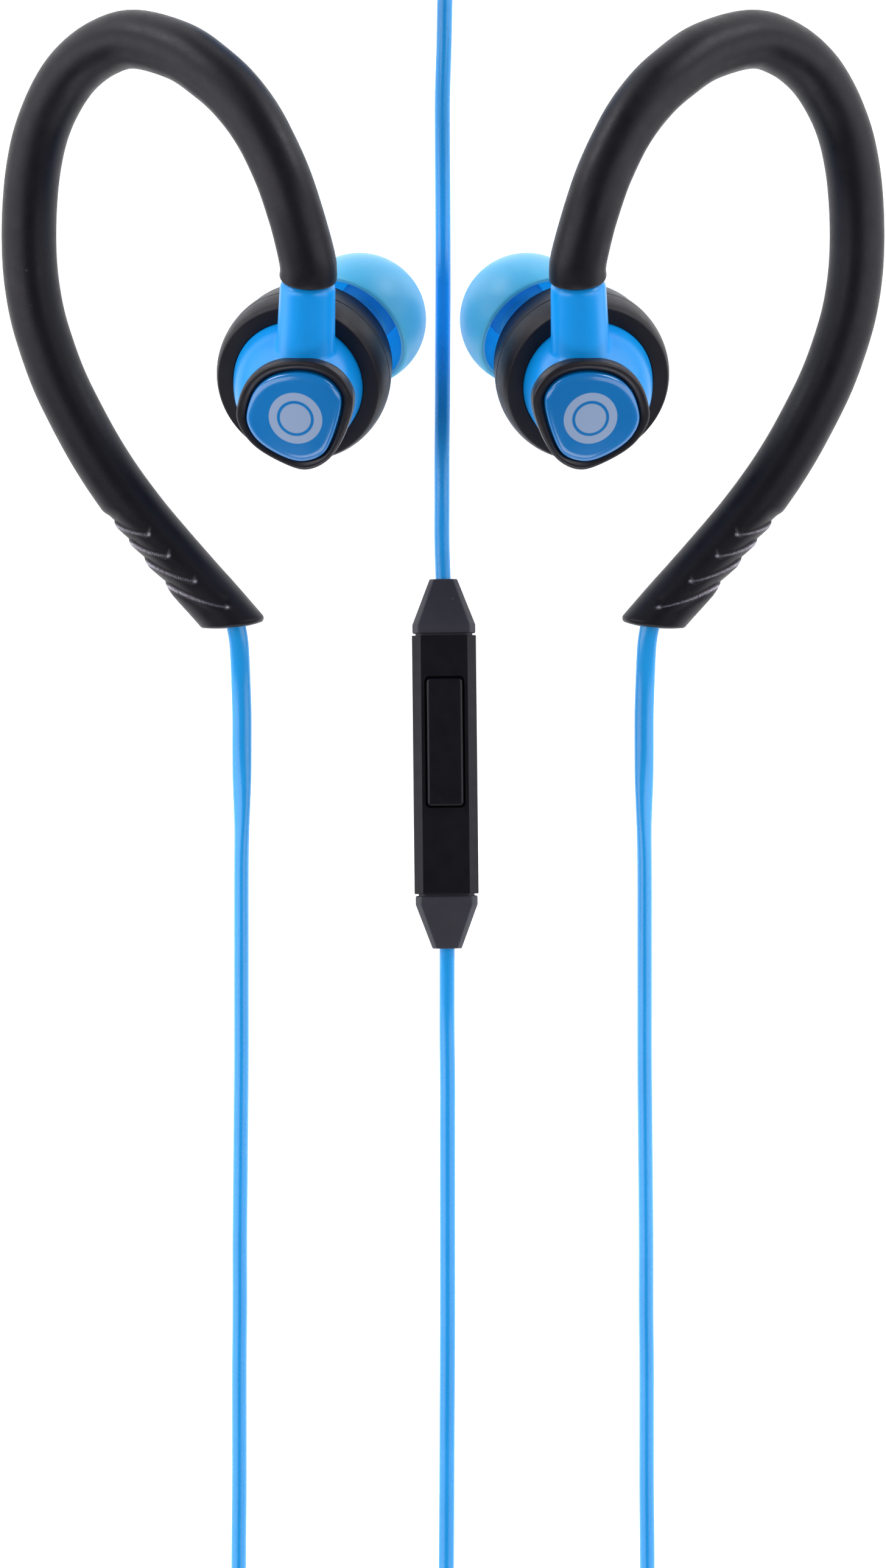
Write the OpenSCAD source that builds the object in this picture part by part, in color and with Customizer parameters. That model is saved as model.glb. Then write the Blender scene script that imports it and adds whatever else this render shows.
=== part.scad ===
// Wired sport in-ear earphones: two over-ear hooks that mirror each other,
// blue cords, a one-button in-line remote, a Y-split and a 3.5 mm plug.
// The set lies flat on a table at z = 0, the ear tips toward the table.
// Millimetres. +X is toward the right hook, +Y is toward the crowns, +Z is up.

/* [Hook] */
// Radius of the rubber sleeve along the arms
sleeve_r = 2.7; // [2.4:0.05:2.9]
// Extra radius of the sleeve at the crown
crown_swell = 0.2; // [0:0.05:0.4]
// Diameter of the spring wire inside the sleeve
wire_d = 1.0; // [0.8:0.1:1.0]
// Depth of the grip grooves on the tail
grip_depth = 0.7; // [0.3:0.05:0.9]

/* [Earpiece] */
// Diameter of the blue barrel where it meets the collar face
barrel_d = 12.86; // [12.0:0.02:13.2]
// Diameter of the collar's flat front face
collar_front_d = 15.9; // [15.6:0.1:16.2]
// Largest diameter of the collar, at its back
collar_back_d = 17.0; // [16.8:0.1:17.2]
// Thickness of the collar
collar_t = 2.9; // [2.5:0.1:3.2]
// Width of the black band around the cap
bezel_band = 1.05; // [0.8:0.05:1.3]
// Diameter of the stem at its top
stem_d = 5.3; // [5.0:0.1:5.4]

/* [Ear tip] */
// Outer diameter of the silicone dome
tip_d = 13.1; // [12.0:0.1:13.1]
// Wall of the silicone dome
tip_wall = 0.6; // [0.4:0.05:0.8]
// Diameter of the sound nozzle
nozzle_d = 4.4; // [4.0:0.1:4.6]

/* [Remote] */
// Width of the remote
remote_w = 6.3; // [5.8:0.1:7.0]
// Thickness of the remote, back face to front face
remote_t = 4.8; // [4.6:0.1:5.6]
// Length of the remote's two shells
remote_len = 25.4; // [24.6:0.2:26.4]
// Width of the button
button_w = 3.5; // [3.0:0.1:3.8]
// Length of the button
button_len = 12.5; // [10:0.5:13]
// How far the button stands above the front shell
button_proud = 0.5; // [0.45:0.05:0.8]
// Radius of the button's corners, seen from the front
button_corner = 0.35; // [0.3:0.05:0.5]
// Travel of the button
button_travel = 0.4; // [0.2:0.05:0.4]

/* [Cords and plug] */
// Diameter of the two ear cords
ear_cord_d = 1.9; // [1.7:0.1:2.0]
// Diameter of the main cord
main_cord_d = 1.5; // [1.3:0.1:1.6]
// Diameter of the plug's contact pin
pin_d = 3.5; // [3.5:0.1:3.5]
// Length of the plug's contact pin
pin_len = 14; // [14:0.5:15]
// Diameter of the plug's grip
grip_d = 7; // [6:0.5:8]

/* [Hidden] */
$fn = 48;

rubber = [0.11, 0.11, 0.12];
blue = [0.02, 0.55, 0.85];
pale = [0.40, 0.72, 0.92];
metal = [0.78, 0.77, 0.74];

// Where the centre of the left collar's front face sits, and how it leans.
bud_at = [-14.13, -6.8, 14.3];
bud_tilt = 23;
bud_yaw = -12.5;
bud_spin = -7;

// The stem rises along the earpiece's own +Y at this x and z.
stem_x = 1.24;
stem_z = 3.0;
stem_top_y = 11.9;
sleeve_end_y = 12.1;

// The nozzle's axis in the earpiece's own frame, and the skirt's rim centre.
nozzle_az = 43.5;
nozzle_tilt = 25;
rim_at = [3.22, 2.54, -9.03];
sphere_ahead = 1.8;

// Left hook: centre line of the sleeve from the stem to the tail.
hook_pts = [
  [-13.5, 6.6, 23.3], [-14.4, 9.8, 23.7], [-15.7, 13.5, 23.4],
  [-17.8, 17.8, 22.2], [-20.1, 21.0, 20.6], [-22.5, 23.3, 18.8],
  [-25.6, 25.5, 16.2], [-30.1, 26.9, 12.6], [-33.4, 26.1, 10.2],
  [-36.1, 24.1, 8.2], [-38.0, 21.4, 6.7], [-39.4, 18.2, 5.3],
  [-40.2, 14.8, 4.3], [-40.6, 11.2, 3.5], [-40.7, 7.4, 3.0],
  [-40.5, 4.0, 2.8], [-39.9, 0.4, 2.75], [-38.9, -3.0, 2.75],
  [-37.7, -6.2, 2.75], [-36.2, -9.3, 2.75], [-34.3, -12.8, 2.75],
  [-32.2, -16.1, 2.75], [-29.6, -19.6, 2.75], [-27.0, -22.7, 2.75],
  [-24.2, -25.9, 2.75], [-22.4, -27.9, 2.75]
];
tail_dir = [0.67, -0.745, 0];
tail_end_y = -30.4;
mid_first = 6;
mid_last = 7;

// The side of the hook on which the wire runs, at right angles to its plane.
hook_normal = [-0.6, 0, 0.8];
cable_shift = -0.55;
wire_shift = 1.15;

// Outline of the cap bezel, seen along the earpiece's own axis.
bezel_pts = [
  [1.8, 5.2], [-1.6, 4.4], [-3.7, 2.5], [-4.6, 0.1], [-4.5, -2.0],
  [-2.7, -4.4], [0.5, -5.9], [2.6, -6.15], [4.5, -4.95], [5.9, -2.6],
  [6.8, 0.7], [6.5, 2.8], [4.7, 4.6]
];
bezel_back = 5.2;
bezel_front = 6.6;

// Cords: they lie on the table once they have come down from the tails.
ear_z = ear_cord_d / 2;
main_z = main_cord_d / 2;
tail_exit = [-20.35, tail_end_y, 2.7];
ear_pts = [
  [-20.0, -33, 2.1], [-19.85, -37.5, 1.1], [-19.8, -43, 0.95], [-19.8, -49, 0.95],
  [-19.85, -55, 0.95], [-19.85, -61, 0.95], [-19.85, -67, 0.95], [-19.85, -73, 0.95],
  [-19.9, -79, 0.95], [-19.95, -85, 0.95], [-20.0, -91, 0.95], [-20.0, -97, 0.95],
  [-20.05, -103, 0.95], [-20.05, -109, 0.95], [-20.05, -115, 0.95],
  [-20.2, -121, 0.95], [-20.4, -127, 1.0], [-20.6, -132, 1.5], [-20.6, -136.5, 2.4]
];
ear_coil_at = [-30.6, -138];
ear_coil_r = 10;
ear_coil_minor = 2.3;
coil_lift = 0.6;
ear_tail_pts = [
  [-20.6, -139, 3.2], [-20.4, -143, 2.4], [-19.3, -147, 1.3], [-16.4, -150.3, 0.95],
  [-12.4, -152, 0.95], [-8, -152.2, 0.95], [-4.2, -150.8, 0.95],
  [-2.0, -147.4, 1.3], [-1.5, -143, 2.0]
];
split_y = [-143, -128];
split_t = 4;
main_lower_pts = [
  [0.2, -128, 2.0], [0.3, -124.5, 1.0], [0.35, -120, 0.75], [0.4, -115, 0.75],
  [0.4, -110, 0.75], [0.4, -105, 0.75], [0.4, -100, 0.75], [0.45, -95, 0.75],
  [0.45, -90, 0.75], [0.45, -85, 0.75], [0.45, -80, 0.75], [0.45, -75, 0.75],
  [0.4, -70, 0.8], [0.4, -66, 1.3], [0.41, -62, 2.15]
];
main_upper_pts = [
  [0.03, -25.65, 2.15], [-0.1, -22, 1.4], [-0.1, -18, 0.8], [-0.1, -13, 0.75],
  [-0.05, -8, 0.75], [0, -3, 0.75], [0, 2, 0.75], [0, 7, 0.75], [0, 12, 0.75],
  [-0.05, 17, 0.75], [-0.05, 22, 0.75], [-0.1, 27, 0.75], [-0.1, 32, 0.75],
  [-0.1, 37, 1.1], [-0.1, 41.5, 1.9], [-0.1, 46, 2.9]
];
main_coil_at = [-9.2, 47];
main_coil_r = 9;
main_coil_minor = 3.0;
main_tail_pts = [
  [-0.1, 48, 4.0], [-0.1, 52.5, 4.2], [-0.1, 57, 3.9], [-0.1, 61, 3.5]
];
plug_y = 61;
relief_len = 9;
grip_len = 15;

// The remote lies on its back, turned a little about +Z.
remote_at = [0.22, -43.9, 0];
remote_turn = 0.6;
remote_split_z = 2.4;
boot_gap = 0.2;
button_y = 2.2;
mic_y = -9.2;
mic_hole_d = 0.9;

function unit(v) = v / norm(v);

// One point of a Catmull-Rom curve between b and c.
function cr(a, b, c, d, t) =
  0.5 * (2 * b + (c - a) * t + (2 * a - 5 * b + 4 * c - d) * t * t
  + (3 * b - a - 3 * c + d) * t * t * t);

function pick(p, i) = p[min(max(i, 0), len(p) - 1)];

// A closed smooth outline through p, with n points between neighbours.
function closed_curve(p, n) = [
  for (i = [0 : len(p) - 1]) for (k = [0 : n - 1])
    cr(p[(i + len(p) - 1) % len(p)], p[i], p[(i + 1) % len(p)],
       p[(i + 2) % len(p)], k / n)
];

function tangent(p, i) = unit(pick(p, i + 1) - pick(p, i - 1));

// A ring of n points about c at right angles to t, its first point along nrm.
function ring(c, t, nrm, r, n, shift = 0) =
  let (u = unit(nrm - (nrm * t) * t), v = cross(t, u))
  [for (k = [0 : n - 1])
    c + u * (shift + r * cos(360 * k / n)) + v * r * sin(360 * k / n)];

// The same ring slid along t on to the level y.
function ring_to_y(rg, t, y) = [for (p = rg) p + t * ((y - p[1]) / t[1])];

// A tube skinned over a list of rings of equal size.
module skin(rings) {
  n = len(rings[0]);
  m = len(rings);
  pts = [for (rg = rings) for (p = rg) p];
  sides = [
    for (i = [0 : m - 2]) for (k = [0 : n - 1]) for (h = [0, 1])
      h == 0
        ? [i * n + k, (i + 1) * n + (k + 1) % n, i * n + (k + 1) % n]
        : [i * n + k, (i + 1) * n + k, (i + 1) * n + (k + 1) % n]
  ];
  start = [[for (k = [0 : n - 1]) k]];
  end = [[for (k = [n - 1 : -1 : 0]) (m - 1) * n + k]];
  polyhedron(points = pts, faces = concat(sides, start, end), convexity = 8);
}

// A cord tube along p; an end that points along Y is cut square across Y.
module cord(p, d) {
  m = len(p) - 1;
  skin([for (i = [0 : m])
    let (rg = ring(p[i], tangent(p, i), [0, 0, 1], d / 2, 8))
    ((i == 0 || i == m) && abs(tangent(p, i)[1]) > 0.8)
      ? ring_to_y(rg, tangent(p, i), p[i][1]) : rg]);
}

module in_bud() {
  translate(bud_at)
    rotate([0, bud_yaw, 0]) rotate([bud_tilt, 0, 0]) rotate([0, 0, bud_spin])
      children();
}

// The ear tip's own frame: origin at the skirt's rim, +Z out of the tip.
module in_tip() {
  translate(rim_at) rotate([0, 0, nozzle_az]) rotate([0, 180 - nozzle_tilt, 0])
    children();
}

// Draws a left-hand piece, or its mirror image on the right.
module side(s) {
  if (s < 0) children();
  else mirror([1, 0, 0]) children();
}

// A point of the earpiece's frame, in the set's frame.
function turn_z(v, a) = [v[0] * cos(a) - v[1] * sin(a), v[0] * sin(a) + v[1] * cos(a), v[2]];
function turn_x(v, a) = [v[0], v[1] * cos(a) - v[2] * sin(a), v[1] * sin(a) + v[2] * cos(a)];
function turn_y(v, a) = [v[0] * cos(a) + v[2] * sin(a), v[1], v[2] * cos(a) - v[0] * sin(a)];
function bud_turn(v) = turn_y(turn_x(turn_z(v, bud_spin), bud_tilt), bud_yaw);

stem_dir = bud_turn([0, 1, 0]);
sleeve_start = bud_at + bud_turn([stem_x, sleeve_end_y, stem_z]);
hook_line = concat([sleeve_start], hook_pts);
hook_n = len(hook_line);
crown_i = 7;

function sleeve_radius(i) = sleeve_r + crown_swell * max(0, 1 - abs(i - crown_i) / 5);

function hook_dir(i) = i == 0 ? stem_dir : (i == hook_n - 1 ? tail_dir : tangent(hook_line, i));

// Rings of one swept feature of the hook from index a to index b.
function hook_rings(a, b, r_add, r_fix, n, shift) = [
  for (i = [a : b])
    ring(hook_line[i], hook_dir(i), hook_normal,
         r_fix > 0 ? r_fix : sleeve_radius(i) + r_add, n, shift)
];

function tail_ring(r, n, shift) =
  ring_to_y(ring(hook_line[hook_n - 1], tail_dir, hook_normal, r, n, shift),
            tail_dir, tail_end_y);

// The two channels that the cable and the wire fill.
module hook_channels(a, b) {
  skin(hook_rings(a, b, 0, ear_cord_d / 2 + 0.05, 8, cable_shift));
  skin(hook_rings(a, min(b, hook_n - 4), 0, wire_d / 2 + 0.05, 6, wire_shift));
}

module hook_sleeve_front() {
  color(rubber) difference() {
    skin(hook_rings(0, mid_first, 0, 0, 16, 0));
    hook_channels(0, mid_first);
  }
}

module hook_sleeve_mid() {
  color(rubber) difference() {
    skin(hook_rings(mid_first, mid_last, 0, 0, 16, 0));
    hook_channels(mid_first, mid_last);
  }
}

// Four diagonal grooves on the upper side of the tail.
module tail_grooves() {
  starts = [[-32.6, -20.0], [-31.1, -21.9], [-29.6, -23.8], [-27.6, -26.1]];
  lengths = [3.9, 4.7, 5.9, 7.0];
  for (i = [0 : 3])
    translate([starts[i][0], starts[i][1], 2.75 + sleeve_r - grip_depth])
      rotate([0, 0, -20]) cube([lengths[i], 0.4, 2]);
}

module hook_sleeve_rear() {
  color(rubber) difference() {
    skin(concat(hook_rings(mid_last, hook_n - 1, 0, 0, 16, 0),
                [tail_ring(sleeve_r, 16, 0)]));
    skin(concat(hook_rings(mid_last, hook_n - 1, 0, ear_cord_d / 2 + 0.05, 8, cable_shift),
                [tail_ring(ear_cord_d / 2 + 0.05, 8, cable_shift)]));
    skin(hook_rings(mid_last, hook_n - 4, 0, wire_d / 2 + 0.05, 6, wire_shift));
    tail_grooves();
    translate([-19.6, -30.2, -1]) rotate([0, 0, 24]) translate([0, -3, 0]) cube([8, 3, 9]);
  }
}

module hook_wire() {
  color(metal) skin(hook_rings(0, hook_n - 4, 0, wire_d / 2, 6, wire_shift));
}

module hook_cable() {
  color(blue)
    skin(concat(hook_rings(0, hook_n - 1, 0, ear_cord_d / 2, 8, cable_shift),
                [tail_ring(ear_cord_d / 2, 8, cable_shift)]));
}

// Blue front shell: a barrel that narrows to the cap, and the stem.
module outer_shell() {
  color(blue) in_bud() difference() {
    union() {
      translate([0, 0, -2.4]) cylinder(d = barrel_d - 0.06, h = 2.5);
      hull() {
        cylinder(d = barrel_d, h = 0.6, $fn = 64);
        translate([0, 0, bezel_back - 0.3]) linear_extrude(0.3)
          offset(delta = -0.2) polygon(closed_curve(bezel_pts, 3));
      }
      translate([stem_x, 2, stem_z]) rotate([-90, 0, 0])
        cylinder(d1 = stem_d + 0.6, d2 = stem_d + 0.1, h = stem_top_y - 2.25);
      translate([stem_x, stem_top_y - 0.25, stem_z]) rotate([-90, 0, 0])
        cylinder(d1 = stem_d + 0.1, d2 = stem_d - 0.4, h = 0.25);
      translate([stem_x, stem_top_y, stem_z]) rotate([-90, 0, 0])
        cylinder(d = stem_d - 0.6, h = sleeve_end_y - stem_top_y);
    }
    translate([0, 0, -3]) cylinder(d = 10.8, h = 6.6);
    translate([stem_x, 3, stem_z]) rotate([-90, 0, 0]) cylinder(d = 3.2, h = 12);
    translate([0, 0, bezel_back]) linear_extrude(5) polygon(closed_curve(bezel_pts, 3));
  }
}

module cap_bezel() {
  color(rubber) in_bud() difference() {
    union() {
      translate([0, 0, bezel_back]) linear_extrude(bezel_front - bezel_back - 0.3)
        polygon(closed_curve(bezel_pts, 3));
      translate([0, 0, bezel_front - 0.3]) linear_extrude(0.3)
        offset(delta = -0.25) polygon(closed_curve(bezel_pts, 3));
    }
    translate([0, 0, bezel_back + 0.5]) linear_extrude(3)
      offset(delta = -bezel_band) polygon(closed_curve(bezel_pts, 3));
  }
}

module cap() {
  color(blue) in_bud() {
    translate([0, 0, bezel_back + 0.5]) linear_extrude(1.3)
      offset(delta = -bezel_band - 0.05) polygon(closed_curve(bezel_pts, 3));
    translate([0, 0, bezel_back + 1.8]) linear_extrude(0.25)
      offset(delta = -bezel_band - 0.35) polygon(closed_curve(bezel_pts, 3));
    translate([0, 0, bezel_back + 2.05]) linear_extrude(0.2)
      offset(delta = -bezel_band - 1.0) polygon(closed_curve(bezel_pts, 3));
  }
}

// Black collar around the barrel, swelling a little toward its back.
module collar() {
  rf = collar_front_d / 2;
  rb = collar_back_d / 2;
  color(rubber) in_bud() rotate_extrude($fn = 72) polygon([
    [barrel_d / 2, 0], [rf - 0.15, 0], [rf, -0.15], [rf + 0.35, -0.8],
    [rb - 0.06, -1.6], [rb, -2.3], [rb, -collar_t], [barrel_d / 2, -collar_t]
  ]);
}

module rear_solid() {
  rotate_extrude($fn = 64) polygon([
    [0, -2.9], [8.5, -2.9], [8.5, -3.6], [8.4, -4.4], [8.27, -5.2], [8.14, -6.0],
    [7.98, -6.6], [7.6, -6.95], [0, -7.1]
  ]);
}

// Black rear shell: a shallow cup with a hole for the nozzle.
module rear_shell() {
  color(rubber) in_bud() difference() {
    rear_solid();
    rotate_extrude($fn = 64) polygon([
      [0, -2], [6.2, -2], [7.1, -3.8], [6.9, -5.4], [6.2, -6.0], [0, -6.1]
    ]);
    in_tip() translate([0, 0, -5]) cylinder(d = 2.8, h = 8);
  }
}

// Blue nozzle: a flared foot on the rear shell and a barbed tube.
module nozzle() {
  rn = nozzle_d / 2;
  color(blue) in_bud() difference() {
    in_tip() rotate_extrude() polygon([
      [1.4, -5.2], [3.9, -5.2], [3.6, -2.2], [rn + 0.3, -0.6], [rn, 0.2], [rn, 3.4],
      [rn + 0.3, 3.7], [rn, 4.8], [rn, 6.2], [rn - 0.2, 6.5], [1.8, 6.5],
      [1.8, 6.1], [1.4, 6.1]
    ]);
    rear_solid();
  }
}

module nozzle_mesh() {
  color(metal) in_bud() in_tip() translate([0, 0, 6.1]) cylinder(r = 1.75, h = 0.2);
}

// Driver: basket and magnet as one closed can behind the diaphragm.
module driver() {
  color(metal) in_bud() {
    translate([0, 0, -1.9]) cylinder(d = 10.6, h = 1.5);
    translate([0, 0, -0.4]) cylinder(d = 8, h = 2.2);
  }
}

module diaphragm() {
  color([0.75, 0.6, 0.3]) in_bud() rotate_extrude() polygon([
    [0, -2.8], [1.8, -2.6], [2.4, -2.2], [3.6, -2.5], [5.2, -2.2], [5.2, -1.95],
    [3.6, -2.25], [2.4, -1.95], [1.8, -2.35], [0, -2.55]
  ]);
}

// Silicone tip: a part of a ball, open at its skirt, around a soft core tube.
function arc_pts(r, a0, a1, n) = [
  for (k = [0 : n])
    let (a = a0 + (a1 - a0) * k / n)
    [r * sin(a), sphere_ahead + r * cos(a)]
];

module eartip() {
  r = tip_d / 2;
  ri = r - tip_wall;
  a_out = acos(-sphere_ahead / r);
  a_in = acos(-sphere_ahead / ri);
  core = nozzle_d / 2 + 0.08;
  color(pale) in_bud() in_tip() rotate_extrude($fn = 60) polygon(concat(
    arc_pts(r, a_out, 20, 12),
    [[core, sphere_ahead + r * cos(20) - 0.25]],
    [[core, 4.95], [core + 0.3, 3.7], [core, 3.3], [core, 1.6], [core + 0.8, 1.6]],
    [[core + 0.9, 6.2], [core + 1.3, 6.9]],
    arc_pts(ri, 38, a_in, 9)
  ));
}

module in_remote() {
  translate(remote_at) rotate([0, 0, remote_turn]) children();
}

// The remote's outline seen along its length: bevelled toward the front.
module remote_outline(w, t) {
  h = w / 2;
  b = 0.72;
  polygon([
    [-h + 0.3, 0], [h - 0.3, 0], [h, 0.3], [h, t - 1.3], [h - b, t],
    [b - h, t], [-h, t - 1.3], [-h, 0.3]
  ]);
}

// Extrudes along the remote's own Y between y0 and y1.
module along_y(y0, y1) {
  translate([0, y1, 0]) rotate([90, 0, 0]) linear_extrude(y1 - y0) children();
}

// A box whose upright edges have the radius r.
module soft_box(w, l, h, r) {
  linear_extrude(h) {
    square([w - 2 * r, l], center = true);
    square([w, l - 2 * r], center = true);
    for (x = [-1, 1]) for (y = [-1, 1])
      translate([x * (w / 2 - r), y * (l / 2 - r)]) circle(r = r, $fn = 24);
  }
}

module remote_half(z0, z1) {
  intersection() {
    along_y(-remote_len / 2, remote_len / 2) remote_outline(remote_w, remote_t);
    translate([-5, -20, z0]) cube([10, 40, z1 - z0]);
  }
}

module remote_front_shell() {
  color(rubber) in_remote() difference() {
    remote_half(remote_split_z, remote_t);
    translate([-2.3, 1.2 - remote_len / 2, 0]) cube([4.6, remote_len - 2.4, remote_t - 1.0]);
    translate([0, button_y, 0]) soft_box(button_w + 0.45, button_len + 0.45, 9, 0.5);
  }
}

module remote_back_shell() {
  color(rubber) in_remote() difference() {
    remote_half(0, remote_split_z);
    translate([-2.3, 1.2 - remote_len / 2, 0.8]) cube([4.6, remote_len - 2.4, 5]);
    translate([0, mic_y, -1]) cylinder(d = mic_hole_d, h = 3);
  }
}

// Button: a raised bar with a flange below the front shell, and a foot.
module remote_button() {
  top = remote_t + button_proud;
  color(rubber) in_remote() translate([0, button_y, 0]) {
    translate([0, 0, 3.55]) soft_box(button_w, button_len, top - 3.8, button_corner);
    translate([0, 0, top - 0.25]) soft_box(button_w - 0.4, button_len - 0.4, 0.25, 0.3);
    translate([0, 0, 3.3]) soft_box(button_w + 0.9, button_len + 0.9, 0.3, 0.5);
    translate([0, 0, 2.55 + button_travel]) cylinder(d = 1.6, h = 1);
  }
}

module remote_pcb() {
  color([0.05, 0.35, 0.2]) in_remote() difference() {
    translate([-2.2, 1.4 - remote_len / 2, 0.8]) cube([4.4, remote_len - 2.8, 0.8]);
    translate([0, mic_y, -1]) cylinder(d = mic_hole_d, h = 3);
  }
}

// Dome switch under the button; its plunger ends just below the button's foot.
module remote_switch() {
  color(metal) in_remote() translate([0, button_y, 0]) {
    translate([-1.5, -1.5, 1.6]) cube([3, 3, 0.7]);
    translate([0, 0, 2.3]) cylinder(d = 1.6, h = 0.2);
  }
}

module remote_mic() {
  color(metal) in_remote() translate([0, mic_y, 1.6]) cylinder(d = 3.6, h = 1.2);
}

// Tapered boot between the remote's upper end and the cord.
module remote_boot(wide, long) {
  y0 = remote_len / 2 + boot_gap;
  t = remote_t - 0.3;
  color(rubber) {
    hull() {
      along_y(y0, y0 + 0.9) translate([0, 0.15]) remote_outline(wide, t);
      along_y(y0 + long - 0.2, y0 + long - 0.1) translate([0, 0.75])
        remote_outline(2.9, 2.9);
      along_y(y0 + long - 0.1, y0 + long) translate([0, 0.85]) remote_outline(2.7, 2.7);
    }
    along_y(remote_len / 2, y0) translate([0, 0.5]) remote_outline(wide - 0.6, 3.8);
  }
}

module remote_boot_top() {
  in_remote() remote_boot(6.2, 5.35);
}

module remote_boot_bottom() {
  in_remote() mirror([0, 1, 0]) remote_boot(6.1, 5.2);
}

// Y-split: a flat capsule that narrows toward the main cord.
module y_split() {
  color(rubber) translate([0.1, split_y[0], 0]) rotate([-90, 0, 0]) hull() {
    for (x = [-1.6, 1.6])
      translate([x, -split_t / 2, 0]) cylinder(d = split_t, h = 9, $fn = 32);
    translate([0, -split_t / 2, 0])
      cylinder(d = 3, h = split_y[1] - split_y[0], $fn = 32);
  }
}

// Solid of a round coil lying flat, and of the tie around it.
module coil(at, r, minor) {
  translate([at[0], at[1], minor + coil_lift]) rotate_extrude($fn = 48)
    translate([r, 0]) circle(r = minor, $fn = 20);
}

module coil_tie(at, r, minor, turned) {
  translate([at[0], at[1], minor + coil_lift]) rotate([0, 0, turned])
    rotate_extrude(angle = 24, $fn = 72) translate([r, 0]) difference() {
      circle(r = minor + 0.55, $fn = 24);
      circle(r = minor + 0.02, $fn = 24);
    }
}

module in_plug() {
  translate([-0.1, plug_y, grip_d / 2]) rotate([-90, 0, 0]) children();
}

module plug_relief() {
  color(rubber) in_plug() {
    cylinder(d1 = 2.8, d2 = 4.4, h = relief_len);
    for (k = [0 : 3])
      translate([0, 0, 1.6 + 1.7 * k]) cylinder(d = 3.7 + 0.35 * k, h = 0.7);
  }
}

module plug_grip() {
  color(rubber) in_plug() translate([0, 0, relief_len]) rotate_extrude() polygon([
    [0, 0], [grip_d / 2 - 0.7, 0], [grip_d / 2, 0.8], [grip_d / 2, grip_len - 1.2],
    [grip_d / 2 - 0.5, grip_len - 0.4], [2.6, grip_len], [0, grip_len]
  ]);
}

// Contact pin: lengths of its parts from the grip outward.
pin_z0 = relief_len + grip_len;
sleeve_l = 3.0;
band = 0.6;
ring_l = 1.9;
tip_z0 = sleeve_l + 3 * band + 2 * ring_l;

module plug_insulator() {
  color(rubber) in_plug() translate([0, 0, pin_z0]) {
    cylinder(d = 1.8, h = tip_z0);
    for (z = [sleeve_l, sleeve_l + band + ring_l, sleeve_l + 2 * (band + ring_l)])
      translate([0, 0, z]) cylinder(d = pin_d, h = band);
  }
}

module contact_ring(z, l) {
  color(metal) in_plug() translate([0, 0, pin_z0 + z]) difference() {
    cylinder(d = pin_d, h = l);
    translate([0, 0, -1]) cylinder(d = 1.8, h = l + 2);
  }
}

module plug_sleeve_contact() {
  contact_ring(0, sleeve_l);
}

module plug_ring_two() {
  contact_ring(sleeve_l + band, ring_l);
}

module plug_ring_one() {
  contact_ring(sleeve_l + 2 * band + ring_l, ring_l);
}

// Tip contact: a neck, then the usual arrow-shaped head.
module plug_tip_contact() {
  rest = pin_len - tip_z0;
  color(metal) in_plug() translate([0, 0, pin_z0 + tip_z0]) rotate_extrude() polygon([
    [0, 0], [pin_d / 2, 0], [pin_d / 2, rest - 4.2], [1.15, rest - 3.4],
    [1.15, rest - 3.1], [pin_d / 2 - 0.05, rest - 2.3], [0.6, rest - 0.2], [0, rest]
  ]);
}

side(-1) hook_sleeve_front();  // left_hook_sleeve_front
side(-1) hook_sleeve_mid();  // left_hook_sleeve_mid
side(-1) hook_sleeve_rear();  // left_hook_sleeve_rear
side(-1) hook_wire();  // left_hook_wire
side(-1) hook_cable();  // left_hook_cable
side(-1) outer_shell();  // left_outer_shell
side(-1) cap_bezel();  // left_cap_bezel
side(-1) cap();  // left_cap
side(-1) collar();  // left_collar
side(-1) rear_shell();  // left_rear_shell
side(-1) nozzle();  // left_nozzle
side(-1) driver();  // left_driver
side(-1) diaphragm();  // left_diaphragm
side(-1) nozzle_mesh();  // left_nozzle_mesh
side(-1) eartip();  // left_eartip
side(1) hook_sleeve_front();  // right_hook_sleeve_front
side(1) hook_sleeve_mid();  // right_hook_sleeve_mid
side(1) hook_sleeve_rear();  // right_hook_sleeve_rear
side(1) hook_wire();  // right_hook_wire
side(1) hook_cable();  // right_hook_cable
side(1) outer_shell();  // right_outer_shell
side(1) cap_bezel();  // right_cap_bezel
side(1) cap();  // right_cap
side(1) collar();  // right_collar
side(1) rear_shell();  // right_rear_shell
side(1) nozzle();  // right_nozzle
side(1) driver();  // right_driver
side(1) diaphragm();  // right_diaphragm
side(1) nozzle_mesh();  // right_nozzle_mesh
side(1) eartip();  // right_eartip
remote_front_shell();
remote_back_shell();
remote_button();
remote_pcb();
remote_switch();
remote_mic();
remote_boot_top();
remote_boot_bottom();
y_split();
color(blue) side(-1) cord(concat([tail_exit], ear_pts), ear_cord_d);  // left_ear_cord
color(blue) side(-1) coil(ear_coil_at, ear_coil_r, ear_coil_minor);  // left_ear_coil
color(blue) side(-1) cord(ear_tail_pts, ear_cord_d);  // left_ear_tail
color(blue) side(1) cord(concat([tail_exit], ear_pts), ear_cord_d);  // right_ear_cord
color(blue) side(1) coil(ear_coil_at, ear_coil_r, ear_coil_minor);  // right_ear_coil
color(blue) side(1) cord(ear_tail_pts, ear_cord_d);  // right_ear_tail
color(rubber) side(-1) coil_tie(ear_coil_at, ear_coil_r, ear_coil_minor, 168);  // left_coil_tie
color(rubber) side(1) coil_tie(ear_coil_at, ear_coil_r, ear_coil_minor, 168);  // right_coil_tie
color(blue) cord(main_lower_pts, main_cord_d);  // main_cord_lower
color(blue) cord(main_upper_pts, main_cord_d);  // main_cord_upper
color(blue) coil(main_coil_at, main_coil_r, main_coil_minor);  // main_coil
color(rubber) coil_tie(main_coil_at, main_coil_r, main_coil_minor, 168);  // main_coil_tie
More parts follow.
